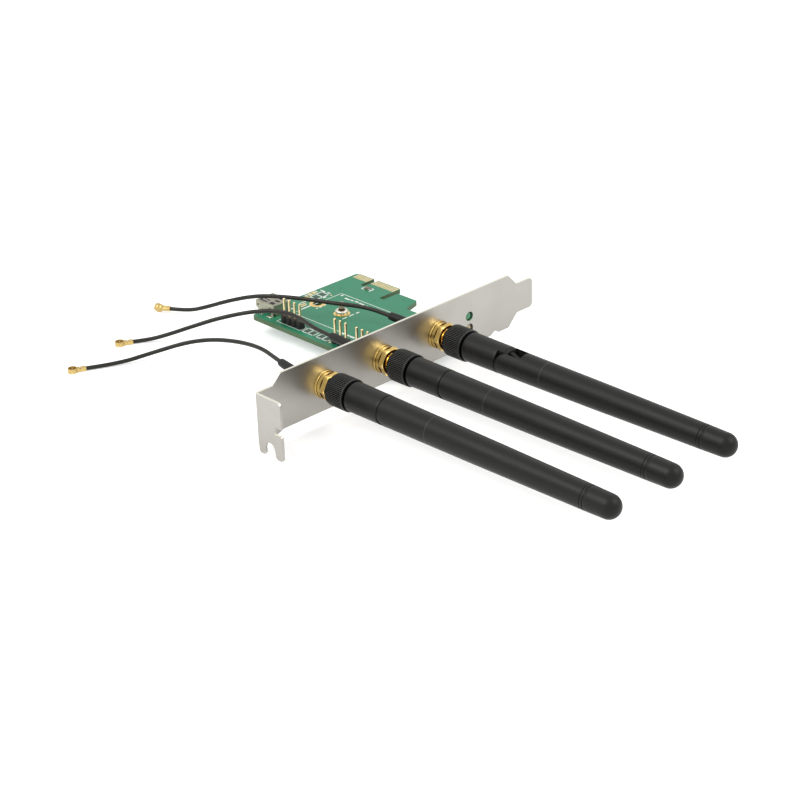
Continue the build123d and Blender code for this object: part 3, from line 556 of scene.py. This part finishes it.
padValues = {
    "thickness": 0.04,
    "edge": 0.015,
    # gold pads as low x, low y, high x, high y
    "pads": ((-31.3, 56.8, -30.5, 57.6), (-65.9, 78.5, -63.9, 80.0), (-65.9, 80.5, -63.9, 81.9),
             (-59.6, 69.5, -58.9, 72.7), (-60.7, 70.4, -60.1, 73.5), (-59.2, 83.2, -58.5, 83.9)),
    # dark bare places inside the printed frames
    "dark": ((-43.75, 57.5, -42.05, 59.6), (-41.15, 57.5, -39.35, 59.6), (-37.05, 57.6, -35.3, 59.4),
             (-34.4, 57.6, -32.65, 59.4), (-62.9, 78.4, -60.5, 80.2), (-62.9, 81.2, -60.5, 83.0)),
    # plated holes as x, y, outer radius
    "holes": ((-14.0, 93.0, 0.42), (-20.5, 91.2, 0.42), (-33.0, 95.4, 0.42), (-37.2, 97.0, 0.42),
              (-44.8, 90.4, 0.42), (-61.0, 90.0, 0.42), (-66.0, 84.4, 0.42), (-66.4, 74.6, 0.42),
              (-24.0, 70.6, 0.36), (-29.5, 68.0, 0.36),
              (-25.5, 81.2, 0.36), (-35.5, 82.4, 0.36), (-48.6, 68.6, 0.36), (-50.4, 82.0, 0.36)),
    # a hole's raised ring: its height, how far its edge slopes, its inner edge and dimple as shares
    "ringRise": 0.02,
    "ringSlope": 0.04,
    "ringInner": 0.5,
    "dimple": 0.42,
    "sides": 20,
}


def makePads(name, places, thickness):
    bm = bmesh.new()
    addPlates(bm, places, boardTop, thickness, padValues["edge"])
    return finishPiece(bm, name, "card")


def makeHoles(values):
    # a raised ring with a dimple for each plated hole, on both faces
    bm = bmesh.new()
    for x, y, radius in values["holes"]:
        for face, side in ((boardTop, 1), (boardBottom, -1)):
            raised = face + side * values["ringRise"]
            profile = ((face, radius), (raised, radius - values["ringSlope"]),
                       (raised, radius * values["ringInner"]), (face, radius * values["dimple"]))
            rings = addUpright(bm, x, y, profile, values["sides"])
            closeRings(bm, rings[-1])
    return finishPiece(bm, "plated_holes", "card", smoothAngle=40)


smallPads = makePads("small_pads", padValues["pads"], padValues["thickness"])
darkPads = makePads("bare_pads", padValues["dark"], padValues["thickness"] / 2)
platedHoles = makeHoles(padValues)
print("board printed")


# solder, the supply socket's openings and painted shade in the plugs' hollows

solderValues = {
    # rows of header pins as first pin's x and number of pins
    "headers": ((-53.9, 4), (-29.4, 3), (-19.2, 3)),
    "headerY": 58.4,
    "pitch": 2.54,
    # foot and top of a joint under the board, as drop and radius
    "joint": ((0.0, 0.95), (0.08, 0.86), (0.35, 0.58), (0.75, 0.42), (0.95, 0.38)),
    "sides": 16,
    # heaps on the board beside the supply socket and the small parts, low and high corners
    "heaps": ((-66.2, 56.9, -65.1, 58.1), (-61.9, 56.8, -59.7, 58.15), (-66.2, 66.0, -65.1, 67.2),
              (-61.9, 66.0, -59.7, 67.3), (-64.7, 57.0, -64.0, 57.6), (-54.55, 94.95, -54.1, 96.25),
              (-52.9, 94.95, -52.45, 96.25), (-63.75, 67.8, -63.4, 68.6), (-62.4, 67.8, -62.05, 68.6)),
    "heapHeight": 0.28,
    "heapEdge": 0.13,
}


def makeSolder(values):
    bm = bmesh.new()
    profile = [(boardBottom - drop, radius) for drop, radius in values["joint"]]
    for first, count in values["headers"]:
        for i in range(count):
            x = first + i * values["pitch"]
            rings = addUpright(bm, x, values["headerY"], profile, values["sides"])
            closeRings(bm, rings[0], rings[-1])
    addPlates(bm, values["heaps"], boardTop, values["heapHeight"], values["heapEdge"])
    return finishPiece(bm, "solder_joints", "card", smoothAngle=50)


socketValues = {
    "top": sidesOf("supply_socket_shell", 2)[1],
    # dark openings in the top as low x, low y, high x, high y: their dark is partly the black plastic
    # inside and partly painted shade
    "openings": ((-67.9, 59.2, -64.0, 61.3), (-67.9, 62.9, -64.0, 65.0), (-62.9, 59.0, -60.6, 60.6),
                 (-62.9, 61.5, -60.6, 62.7), (-62.9, 63.6, -60.6, 65.2)),
    "openingThick": 0.02,
    # springs that stand a little proud inside the two long openings
    "springs": ((-66.9, 60.0, -64.3, 60.6), (-66.9, 63.6, -64.3, 64.2)),
    "springThick": 0.09,
    "springEdge": 0.03,
    # the turned-up rim round each opening, in paler metal than the shell: a painted highlight
    "rim": 0.17,
    "rimThick": 0.06,
    "rimEdge": 0.02,
    # painted shade in the dimples of the near side as low x, low z, high x, high z
    "dimpleShades": ((-67.6, 5.0, -66.9, 5.7), (-61.6, 5.0, -60.9, 5.7)),
    "dimpleShadeDepth": 0.02,
    "sideY": 58.25,
}


def makeSocketOpenings(values):
    bm = bmesh.new()
    # dark sheets on the shell's top: the black plastic inside and painted shade in the openings
    addPlates(bm, values["openings"], values["top"], values["openingThick"])
    side = values["sideY"]
    # thin dark patches on the shell's side: painted shade in its dimples
    for lowX, lowZ, highX, highZ in values["dimpleShades"]:
        addBlock(bm, (lowX, side - values["dimpleShadeDepth"], lowZ), (highX, side, highZ))
    return finishPiece(bm, "socket_openings", "card")


def makeSocketSprings(values):
    bm = bmesh.new()
    top = values["top"]
    rim = values["rim"]
    addPlates(bm, values["springs"], top, values["springThick"], values["springEdge"])
    for lowX, lowY, highX, highY in values["openings"]:
        sides = ((lowX - rim, lowY - rim, highX + rim, lowY), (lowX - rim, highY, highX + rim, highY + rim),
                 (lowX - rim, lowY, lowX, highY), (highX, lowY, highX + rim, highY))
        # the rims take the paler tinned metal: a painted highlight along the shell's turned-up edges
        addPlates(bm, sides, top, values["rimThick"], values["rimEdge"])
    return finishPiece(bm, "socket_springs", "card", smoothAngle=40)


plugValues = {
    # the two plugs that lie open side up: centre x, y and the height of the hollow's floor
    "centres": ((-87.25, -4.55), (-91.95, 18.6)),
    "floor": -3.49,
    "thickness": 0.03,
    "inner": 0.33,
    "outer": 1.2,
    "sides": 24,
}


def makeHollowShadeRings(values):
    # a thin dark ring on the floor of each hollow: painted shade
    bm = bmesh.new()
    low = values["floor"]
    high = low + values["thickness"]
    inner = values["inner"]
    outer = values["outer"]
    profile = ((low, outer), (high, outer), (high, inner), (low, inner))
    for x, y in values["centres"]:
        rings = addUpright(bm, x, y, profile, values["sides"])
        bridgeRings(bm, [rings[-1], rings[0]])
    return finishPiece(bm, "plug_hollow_shade", "card")


hollowShadeRings = makeHollowShadeRings(plugValues)
solderJoints = makeSolder(solderValues)
socketOpenings = makeSocketOpenings(socketValues)
socketSprings = makeSocketSprings(socketValues)
print("solder and socket done")


# shared shader groups

grainValues = {
    # detail of the broad patches and of the fine grain
    "detail": {"Cloud": 4.0, "Fleck": 2.0},
    "roughness": 0.6,
    # the part of the noise that is spread over 0 to 1
    "low": 0.3,
    "high": 0.7,
    # how much of the gloss follows the broad patches; the rest follows the flecks
    "cloudShare": 0.6,
}


def newMaterial(name):
    material = bpy.data.materials.new(name)
    material.use_nodes = True
    tree = material.node_tree
    return material, tree, tree.nodes["Principled BSDF"]


def feed(tree, socket, value):
    # a number or a colour is set on the socket, and anything else is linked to it
    if isinstance(value, tuple):
        socket.default_value = (*value, 1)
    elif isinstance(value, (int, float)):
        socket.default_value = value
    else:
        tree.links.new(value, socket)


def mixColours(tree, share, first, second):
    mix = tree.nodes.new("ShaderNodeMix")
    mix.data_type = "RGBA"
    for index, value in ((0, share), (6, first), (7, second)):
        feed(tree, mix.inputs[index], value)
    return mix.outputs[2]


def spreadOver(tree, value, low, high, start=0.0, end=1.0):
    node = tree.nodes.new("ShaderNodeMapRange")
    node.inputs["From Min"].default_value = start
    node.inputs["From Max"].default_value = end
    node.inputs["To Min"].default_value = low
    node.inputs["To Max"].default_value = high
    feed(tree, node.inputs["Value"], value)
    return node.outputs["Result"]


def calculate(tree, kind, *values):
    node = tree.nodes.new("ShaderNodeMath")
    node.operation = kind
    for index, value in enumerate(values):
        feed(tree, node.inputs[index], value)
    return node.outputs[0]


def objectPlace(tree):
    return tree.nodes.new("ShaderNodeTexCoord").outputs["Object"]


def splitVector(tree, vector):
    split = tree.nodes.new("ShaderNodeSeparateXYZ")
    feed(tree, split.inputs["Vector"], vector)
    return split.outputs


def facingOf(tree):
    return splitVector(tree, tree.nodes.new("ShaderNodeNewGeometry").outputs["Normal"])


def newGroup(name, inputs, outputs):
    group = bpy.data.node_groups.new(name, "ShaderNodeTree")
    for label in inputs:
        kind = "NodeSocketVector" if label == "Vector" else "NodeSocketFloat"
        group.interface.new_socket(name=label, in_out="INPUT", socket_type=kind)
    for label in outputs:
        group.interface.new_socket(name=label, in_out="OUTPUT", socket_type="NodeSocketFloat")
    return group, group.nodes.new("NodeGroupInput").outputs, group.nodes.new("NodeGroupOutput").inputs


def addGroup(tree, group, **values):
    node = tree.nodes.new("ShaderNodeGroup")
    node.node_tree = group
    for label, value in values.items():
        feed(tree, node.inputs[label], value)
    return node.outputs


def grainGroup(values):
    # cloud: broad uneven patches, fleck: fine grain, gloss: both together, all 0 to 1
    group, given, result = newGroup("surfaceGrain", ("Vector", "Patch", "Grain"),
                                    ("Cloud", "Fleck", "Gloss"))
    noises = {}
    for label, scale in (("Cloud", "Patch"), ("Fleck", "Grain")):
        noise = group.nodes.new("ShaderNodeTexNoise")
        noise.inputs["Detail"].default_value = values["detail"][label]
        noise.inputs["Roughness"].default_value = values["roughness"]
        feed(group, noise.inputs["Vector"], given["Vector"])
        feed(group, noise.inputs["Scale"], given[scale])
        noises[label] = spreadOver(group, noise.outputs["Fac"], 0.0, 1.0, values["low"], values["high"])
        feed(group, result[label], noises[label])
    broad = calculate(group, "MULTIPLY", noises["Cloud"], values["cloudShare"])
    fine = calculate(group, "MULTIPLY", noises["Fleck"], 1 - values["cloudShare"])
    feed(group, result["Gloss"], calculate(group, "ADD", broad, fine))
    return group


def lineGroup():
    # a thin line round a turned part: clear is 0 on the line and 1 where it has ended
    group, given, result = newGroup("turnedLine", ("Vector", "Place", "Width"), ("Clear",))
    along = calculate(group, "SUBTRACT", splitVector(group, given["Vector"])["X"], given["Place"])
    widths = calculate(group, "DIVIDE", calculate(group, "ABSOLUTE", along), given["Width"])
    feed(group, result["Clear"], spreadOver(group, widths, 0.0, 1.0, 0.5, 1.0))
    return group


surfaceGrain = grainGroup(grainValues)
turnedLine = lineGroup()


def addBump(tree, shader, height, distance):
    bump = tree.nodes.new("ShaderNodeBump")
    bump.inputs["Strength"].default_value = 1.0
    bump.inputs["Distance"].default_value = distance
    feed(tree, bump.inputs["Height"], height)
    feed(tree, shader.inputs["Normal"], bump.outputs["Normal"])


def addGrain(tree, values):
    return addGroup(tree, surfaceGrain, Vector=objectPlace(tree), Patch=values["patch"],
                    Grain=values["grain"])


# finishes

finishes = {
    # platedSteel's upward colour is partly bare cut metal and partly a painted highlight on the bracket's
    # top edges
    "platedSteel": {"colour": (0.435, 0.420, 0.392), "second": (0.397, 0.382, 0.352), "metal": 1.0,
                    "rough": (0.33, 0.43), "upwardHighlightColour": (0.80, 0.78, 0.68), "upwardHighlightFrom": 0.55,
                    "upwardHighlightTo": 0.8, "patch": 60.0, "grain": 5200.0, "flecks": 0.25, "depth": 0.000004},
    # the gold nuts' dark lines are painted shade in the gaps where the gold parts meet each other and the
    # plate
    "nutGold": {"colour": (0.95, 0.70, 0.25), "second": (0.88, 0.60, 0.18), "metal": 1.0,
                "lines": (0.0, 0.93, 2.28, 4.3), "lineWidth": 0.13, "lineColour": (0.10, 0.045, 0.012),
                "rough": (0.16, 0.27), "patch": 300.0, "grain": 5000.0, "flecks": 0.2, "depth": 0.000003},
    "plugGold": {"colour": (0.66, 0.50, 0.20), "second": (0.46, 0.33, 0.12), "metal": 1.0,
                 "rough": (0.27, 0.42), "patch": 500.0, "grain": 6000.0, "flecks": 0.3, "depth": 0.000003},
    # the hollows' dark colour is painted shade
    "plugHollowShade": {"colour": (0.07, 0.035, 0.015), "second": (0.04, 0.02, 0.01), "metal": 0.4,
                   "rough": (0.4, 0.55), "patch": 500.0, "grain": 6000.0, "depth": 0.000003},
    "goldPlate": {"colour": (0.93, 0.68, 0.27), "second": (0.85, 0.58, 0.19), "metal": 1.0,
                  "rough": (0.13, 0.24), "patch": 300.0, "grain": 5000.0, "flecks": 0.2, "depth": 0.000003},
    "paleGold": {"colour": (0.87, 0.73, 0.46), "second": (0.79, 0.63, 0.35), "metal": 1.0,
                 "rough": (0.34, 0.46), "patch": 400.0, "grain": 6000.0, "flecks": 0.3, "depth": 0.000003},
    "antennaPlastic": {"colour": (0.0095, 0.0095, 0.0085), "second": (0.012, 0.012, 0.0105),
                       "rough": (0.36, 0.48), "specular": 0.19, "patch": 70.0, "grain": 5500.0,
                       "flecks": 0.35, "depth": 0.000006},
    # the stud's low colour is painted shade where it sits inside the standoff's collar
    "studMetal": {"colour": (0.62, 0.50, 0.40), "second": (0.50, 0.38, 0.29), "metal": 0.7,
                  "shoulder": 4.75, "shoulderSoft": 0.2, "low": (0.08, 0.045, 0.025),
                  "rough": (0.4, 0.55), "patch": 400.0, "grain": 6000.0, "depth": 0.000004},
    # the ribs are the nuts' plastic painted much paler: a painted highlight on the rib tops
    "litRibPlastic": {"colour": (0.062, 0.062, 0.057), "second": (0.050, 0.050, 0.046), "rough": (0.34, 0.46),
                   "specular": 0.4, "patch": 160.0, "grain": 6000.0, "flecks": 0.4, "depth": 0.000004},
    # the nuts' groove colour is painted shade between the ribs
    "nutPlastic": {"groove": 4.84, "crest": 5.06, "grooveShadeColour": (0.0004, 0.0004, 0.0004),
                   "colour": (0.0015, 0.0015, 0.0013), "second": (0.001, 0.001, 0.0009),
                   "rough": (0.5, 0.64), "specular": 0.06, "patch": 160.0, "grain": 6000.0,
                   "flecks": 0.4, "depth": 0.000006},
    "leadJacket": {"colour": (0.026, 0.025, 0.0200), "second": (0.019, 0.018, 0.0145), "rough": (0.36, 0.5),
                   "specular": 0.22, "patch": 260.0, "grain": 4500.0, "flecks": 0.3, "depth": 0.00001},
    "shrinkTube": {"colour": (0.008, 0.0078, 0.007), "second": (0.012, 0.0115, 0.0105),
                   "rough": (0.45, 0.6), "specular": 0.24, "patch": 300.0, "grain": 5000.0,
                   "flecks": 0.4, "depth": 0.00002},
    "socketPlastic": {"colour": (0.012, 0.012, 0.012), "second": (0.019, 0.018, 0.017),
                      "rough": (0.45, 0.62), "specular": 0.26, "patch": 400.0, "grain": 7000.0,
                      "flecks": 0.4, "depth": 0.000008},
    "tinnedSteel": {"colour": (0.60, 0.58, 0.52), "second": (0.48, 0.45, 0.39), "metal": 1.0,
                    "rough": (0.25, 0.42), "patch": 500.0, "grain": 6000.0, "flecks": 0.35,
                    "depth": 0.000005},
    "whiteInsulator": {"colour": (0.80, 0.79, 0.75), "second": (0.74, 0.72, 0.67), "rough": (0.4, 0.55),
                       "patch": 400.0, "grain": 6000.0, "depth": 0.000004},
    "whitePrint": {"colour": (0.84, 0.85, 0.80), "second": (0.74, 0.76, 0.70), "rough": (0.5, 0.65),
                   "specular": 0.3, "patch": 900.0, "grain": 9000.0, "flecks": 0.4, "depth": 0.000004},
    "chipBody": {"colour": (0.22, 0.17, 0.11), "second": (0.16, 0.12, 0.08), "rough": (0.4, 0.55),
                 "patch": 600.0, "grain": 7000.0, "depth": 0.000006},
    "dullTin": {"colour": (0.40, 0.40, 0.31), "second": (0.33, 0.33, 0.25), "metal": 1.0,
                "rough": (0.36, 0.5), "patch": 350.0, "grain": 6000.0, "flecks": 0.35, "depth": 0.000006},
    "solder": {"colour": (0.74, 0.73, 0.69), "second": (0.62, 0.61, 0.57), "metal": 1.0,
               "rough": (0.2, 0.36), "patch": 700.0, "grain": 6000.0, "flecks": 0.2, "depth": 0.000003},
    "darkPad": {"colour": (0.012, 0.05, 0.03), "second": (0.008, 0.03, 0.02), "rough": (0.3, 0.45),
                "patch": 700.0, "grain": 8000.0, "depth": 0.000004},
    "creamMetal": {"colour": (0.80, 0.76, 0.66), "second": (0.70, 0.65, 0.54), "metal": 0.85,
                   "rough": (0.4, 0.55), "patch": 400.0, "grain": 6000.0, "depth": 0.000004},
}
# the radomes are the antennas' plastic with a faint mould line
finishes["radomePlastic"] = {**finishes["antennaPlastic"], "lines": (46.3,), "lineWidth": 0.2,
                             "lineColour": (0.042, 0.042, 0.039)}
boardFinishValues = {
    # the green mask on the faces and its flecks
    "colour": (0.019, 0.180, 0.090), "second": (0.024, 0.205, 0.106), "fleckColour": (0.040, 0.26, 0.150),
    "flecks": 0.25, "patch": 90.0, "grain": 2500.0, "rough": (0.30, 0.42), "specular": 0.24,
    "depth": 0.000006,
    # the layers at the cut edges, a wave along z
    "layer": (0.046, 0.190, 0.078), "otherLayer": (0.115, 0.082, 0.048), "layerScale": 700.0,
    "waviness": 1.6, "waveDetail": 60.0, "layerFrom": 0.45, "layerTo": 0.75,
    # how straight up or down a face looks before it counts as the board's face
    "faceLimit": 0.7,
}
lampValues = {
    "lampAmber": {"colour": (0.50, 0.42, 0.26), "second": (0.36, 0.29, 0.16)},
    "lampGreen": {"colour": (0.03, 0.42, 0.18), "second": (0.012, 0.20, 0.08)},
    "patch": 500.0, "grain": 5000.0, "rough": (0.10, 0.18), "coat": 0.6, "coatRough": 0.04,
}


def plainFinish(name, values):
    # two close colours in patches, fine flecks, uneven gloss and a fine bump
    material, tree, shader = newMaterial(name)
    grain = addGrain(tree, values)
    base = mixColours(tree, grain["Cloud"], values["colour"], values["second"])
    share = calculate(tree, "MULTIPLY", grain["Fleck"], values.get("flecks", 0.3))
    feed(tree, shader.inputs["Base Color"], mixColours(tree, share, base, values["second"]))
    feed(tree, shader.inputs["Roughness"], spreadOver(tree, grain["Gloss"], *values["rough"]))
    shader.inputs["Metallic"].default_value = values.get("metal", 0.0)
    shader.inputs["Specular IOR Level"].default_value = values.get("specular", 0.5)
    addBump(tree, shader, grain["Fleck"], values["depth"])
    return material


def repaint(tree, share, colour):
    # the finish keeps its own colour where share is 1 and takes the new one where share is 0
    socket = tree.nodes["Principled BSDF"].inputs["Base Color"]
    plain = socket.links[0].from_socket
    feed(tree, socket, mixColours(tree, share, colour, plain))


def boardFinish(name, values):
    # green mask over copper on the two faces, glass layers on the cut sides
    material, tree, shader = newMaterial(name)
    grain = addGrain(tree, values)
    mask = mixColours(tree, grain["Cloud"], values["colour"], values["second"])
    share = calculate(tree, "MULTIPLY", grain["Fleck"], values["flecks"])
    mask = mixColours(tree, share, mask, values["fleckColour"])
    wave = tree.nodes.new("ShaderNodeTexWave")
    wave.wave_type = "BANDS"
    wave.bands_direction = "Z"
    wave.inputs["Scale"].default_value = values["layerScale"]
    wave.inputs["Distortion"].default_value = values["waviness"]
    wave.inputs["Detail Scale"].default_value = values["waveDetail"]
    feed(tree, wave.inputs["Vector"], objectPlace(tree))
    band = spreadOver(tree, wave.outputs["Fac"], 0.0, 1.0, values["layerFrom"], values["layerTo"])
    layers = mixColours(tree, band, values["layer"], values["otherLayer"])
    upright = calculate(tree, "ABSOLUTE", facingOf(tree)["Z"])
    flat = calculate(tree, "GREATER_THAN", upright, values["faceLimit"])
    feed(tree, shader.inputs["Base Color"], mixColours(tree, flat, layers, mask))
    feed(tree, shader.inputs["Roughness"], spreadOver(tree, grain["Cloud"], *values["rough"]))
    shader.inputs["Specular IOR Level"].default_value = values["specular"]
    addBump(tree, shader, grain["Fleck"], values["depth"])
    return material


def nutFinish(name, values):
    # the moulded nuts: the grooves between the ribs painted darker than the ribs' tops, as painted shade
    material = plainFinish(name, values)
    tree = material.node_tree
    place = splitVector(tree, objectPlace(tree))
    # distance from the nearest jack's line, the same sum for all three nuts
    half = (jackY[1] - jackY[0]) / 2000
    first = at(0, jackY[0], jackZ)
    across = calculate(tree, "WRAP", calculate(tree, "SUBTRACT", place["Y"], first.y), half, -half)
    up = calculate(tree, "SUBTRACT", place["Z"], first.z)
    squares = [calculate(tree, "POWER", side, 2.0) for side in (across, up)]
    radius = calculate(tree, "SQRT", calculate(tree, "ADD", *squares))
    # nearer the axis the nut takes the groove colour: painted shade in the grooves
    top = spreadOver(tree, radius, 0.0, 1.0, values["groove"] / 1000, values["crest"] / 1000)
    repaint(tree, top, values["grooveShadeColour"])
    return material


def linedFinish(name, values):
    # thin lines round a turned part: painted shade in the grooves between gold nuts, the mould line on a
    # radome
    material = plainFinish(name, values)
    tree = material.node_tree
    place = objectPlace(tree)
    width = values["lineWidth"] / 1000
    clear = 1.0
    for line in values["lines"]:
        away = addGroup(tree, turnedLine, Vector=place, Place=at(line, 0, 0).x, Width=width)
        clear = calculate(tree, "MINIMUM", away["Clear"], clear)
    repaint(tree, clear, values["lineColour"])
    return material


def steelFinish(name, values):
    # the bracket: faces that look upwards are painted paler, partly bare cut metal and partly a painted
    # highlight along its top edges
    material = plainFinish(name, values)
    tree = material.node_tree
    # faces looking upwards take the paler colour: a painted highlight
    level = spreadOver(tree, facingOf(tree)["Z"], 1.0, 0.0, values["upwardHighlightFrom"], values["upwardHighlightTo"])
    repaint(tree, level, values["upwardHighlightColour"])
    return material


def studFinish(name, values):
    # the stud in the standoff: painted shade low down, where it sits inside the collar, worn metal above
    material = plainFinish(name, values)
    tree = material.node_tree
    height = at(0, 0, values["shoulder"]).z
    place = splitVector(tree, objectPlace(tree))
    aboveShade = spreadOver(tree, place["Z"], 0.0, 1.0, height, height + values["shoulderSoft"] / 1000)
    # below the shoulder the stud takes the dark colour: painted shade
    repaint(tree, aboveShade, values["low"])
    return material


def lampFinish(name, values):
    material, tree, shader = newMaterial(name)
    grain = addGrain(tree, values)
    colours = values[name]
    base = mixColours(tree, grain["Cloud"], colours["colour"], colours["second"])
    feed(tree, shader.inputs["Base Color"], base)
    feed(tree, shader.inputs["Roughness"], spreadOver(tree, grain["Fleck"], *values["rough"]))
    shader.inputs["Coat Weight"].default_value = values["coat"]
    shader.inputs["Coat Roughness"].default_value = values["coatRough"]
    return material


specialFinishes = {
    "nutPlastic": nutFinish, "nutGold": linedFinish, "radomePlastic": linedFinish,
    "platedSteel": steelFinish, "studMetal": studFinish,
}
materials = {name: specialFinishes.get(name, plainFinish)(name, values)
             for name, values in finishes.items()}
materials["boardGreen"] = boardFinish("boardGreen", boardFinishValues)
for name in ("lampAmber", "lampGreen"):
    materials[name] = lampFinish(name, lampValues)
print("materials built")

nodeFinishes = {
    "bracket": "platedSteel", "bracket_screws": "tinnedSteel", "circuit_board": "boardGreen",
    "edge_contacts": "paleGold", "gold_pads": "goldPlate", "module_socket": "socketPlastic",
    "module_socket_contacts": "tinnedSteel", "module_standoff": "creamMetal", "module_screw": "studMetal",
    "supply_socket_shell": "dullTin", "supply_socket_tongue": "socketPlastic",
    "supply_socket_contacts": "paleGold", "lamp_holder": "socketPlastic", "lamp_amber": "lampAmber",
    "lamp_green": "lampGreen", "lamp_legs": "tinnedSteel", "board_chips": "chipBody",
    "header_4_housing": "socketPlastic", "header_4_pins": "paleGold", "header_3_housings": "socketPlastic",
    "header_3_pins": "paleGold", "jack_insulators": "whiteInsulator", "jack_contacts": "goldPlate",
}
for number in "123":
    nodeFinishes.update({
        "jack_body_" + number: "goldPlate", "jack_washer_" + number: "nutGold",
        "jack_nut_" + number: "nutGold", "coupling_nut_" + number: "nutPlastic",
        "antenna_plug_" + number: "goldPlate", "antenna_base_" + number: "antennaPlastic",
        "hinge_pin_" + number: "tinnedSteel", "radome_" + number: "radomePlastic",
        "tip_cap_" + number: "antennaPlastic", "lead_sleeve_" + number: "shrinkTube",
        "lead_" + number: "leadJacket", "lead_plug_" + number: "plugGold",
    })


def dress(piece, material):
    piece.data.materials.clear()
    piece.data.materials.append(material)


for name, finish in nodeFinishes.items():
    dress(softPieces.get(name, nodes[name]), materials[finish])
pieceFinishes = (
    (leads, "leadJacket"), (sleeves, "shrinkTube"), (jacks, "goldPlate"), (nutRibs, "litRibPlastic"),
    ([boardPrint], "whitePrint"), ([smallPads], "paleGold"), ([darkPads], "darkPad"),
    ([platedHoles], "boardGreen"), ([solderJoints], "solder"), ([hollowShadeRings], "plugHollowShade"),
    ([socketOpenings], "socketPlastic"), ([socketSprings], "tinnedSteel"),
)
for pieces, finish in pieceFinishes:
    for piece in pieces:
        dress(piece, materials[finish])
print("nodes dressed")


# floor, light and backdrop

stageValues = {
    "floorColour": (0.82, 0.82, 0.81),
    "floorSize": 3.0,
    # how far the floor lies under the model, so that the two don't share a plane
    "floorDrop": 0.0001,
    "floorGlow": 0.47,
    "worldGlow": 0.55,
    "lamps": (
        # place, aim, width, power
        ((-0.25, -0.55, 0.75), (-0.02, 0.0, 0.0), 0.55, 6.0),
        ((0.55, 0.35, 0.60), (0.0, 0.0, 0.0), 0.45, 3.0),
    ),
}


def seenShare(tree):
    # 1 for what is seen straight, in metal or through glass, 0 for light that falls on the object
    path = tree.nodes.new("ShaderNodeLightPath")
    seen = 0.0
    for kind in ("Camera", "Glossy", "Transmission"):
        seen = calculate(tree, "ADD", path.outputs["Is " + kind + " Ray"], seen)
    return calculate(tree, "MINIMUM", seen, 1.0)


def makeStage(values):
    bm = bmesh.new()
    bmesh.ops.create_grid(bm, x_segments=1, y_segments=1, size=values["floorSize"])
    mesh = bpy.data.meshes.new("studioFloor")
    bm.to_mesh(mesh)
    bm.free()
    floor = bpy.data.objects.new("studioFloor", mesh)
    bpy.context.scene.collection.objects.link(floor)
    floor.location.z = -values["floorDrop"]
    material, tree, shader = newMaterial("floorWhite")
    shader.inputs["Base Color"].default_value = (*values["floorColour"], 1)
    shader.inputs["Roughness"].default_value = 1.0
    shader.inputs["Specular IOR Level"].default_value = 0.0
    glow = tree.nodes.new("ShaderNodeEmission")
    feed(tree, glow.inputs["Strength"], calculate(tree, "MULTIPLY", seenShare(tree), values["floorGlow"]))
    both = tree.nodes.new("ShaderNodeAddShader")
    feed(tree, both.inputs[0], shader.outputs["BSDF"])
    feed(tree, both.inputs[1], glow.outputs["Emission"])
    feed(tree, tree.nodes["Material Output"].inputs["Surface"], both.outputs["Shader"])
    dress(floor, material)


def makeWorld(values):
    world = bpy.data.worlds.new("studioWorld")
    bpy.context.scene.world = world
    world.use_nodes = True
    tree = world.node_tree
    sky = tree.nodes["Background"]
    sky.inputs["Color"].default_value = (1, 1, 1, 1)
    feed(tree, sky.inputs["Strength"], spreadOver(tree, seenShare(tree), values["worldGlow"], 1.0))


def makeLamps(values):
    for index, (place, aim, width, power) in enumerate(values["lamps"]):
        data = bpy.data.lights.new("softbox" + str(index + 1), "AREA")
        data.size = width
        data.energy = power
        lamp = bpy.data.objects.new(data.name, data)
        bpy.context.scene.collection.objects.link(lamp)
        lamp.location = place
        lamp.rotation_euler = (Vector(aim) - Vector(place)).to_track_quat("-Z", "Y").to_euler()


makeStage(stageValues)
makeWorld(stageValues)
makeLamps(stageValues)
bpy.context.scene.view_settings.view_transform = "Standard"
print("stage set")
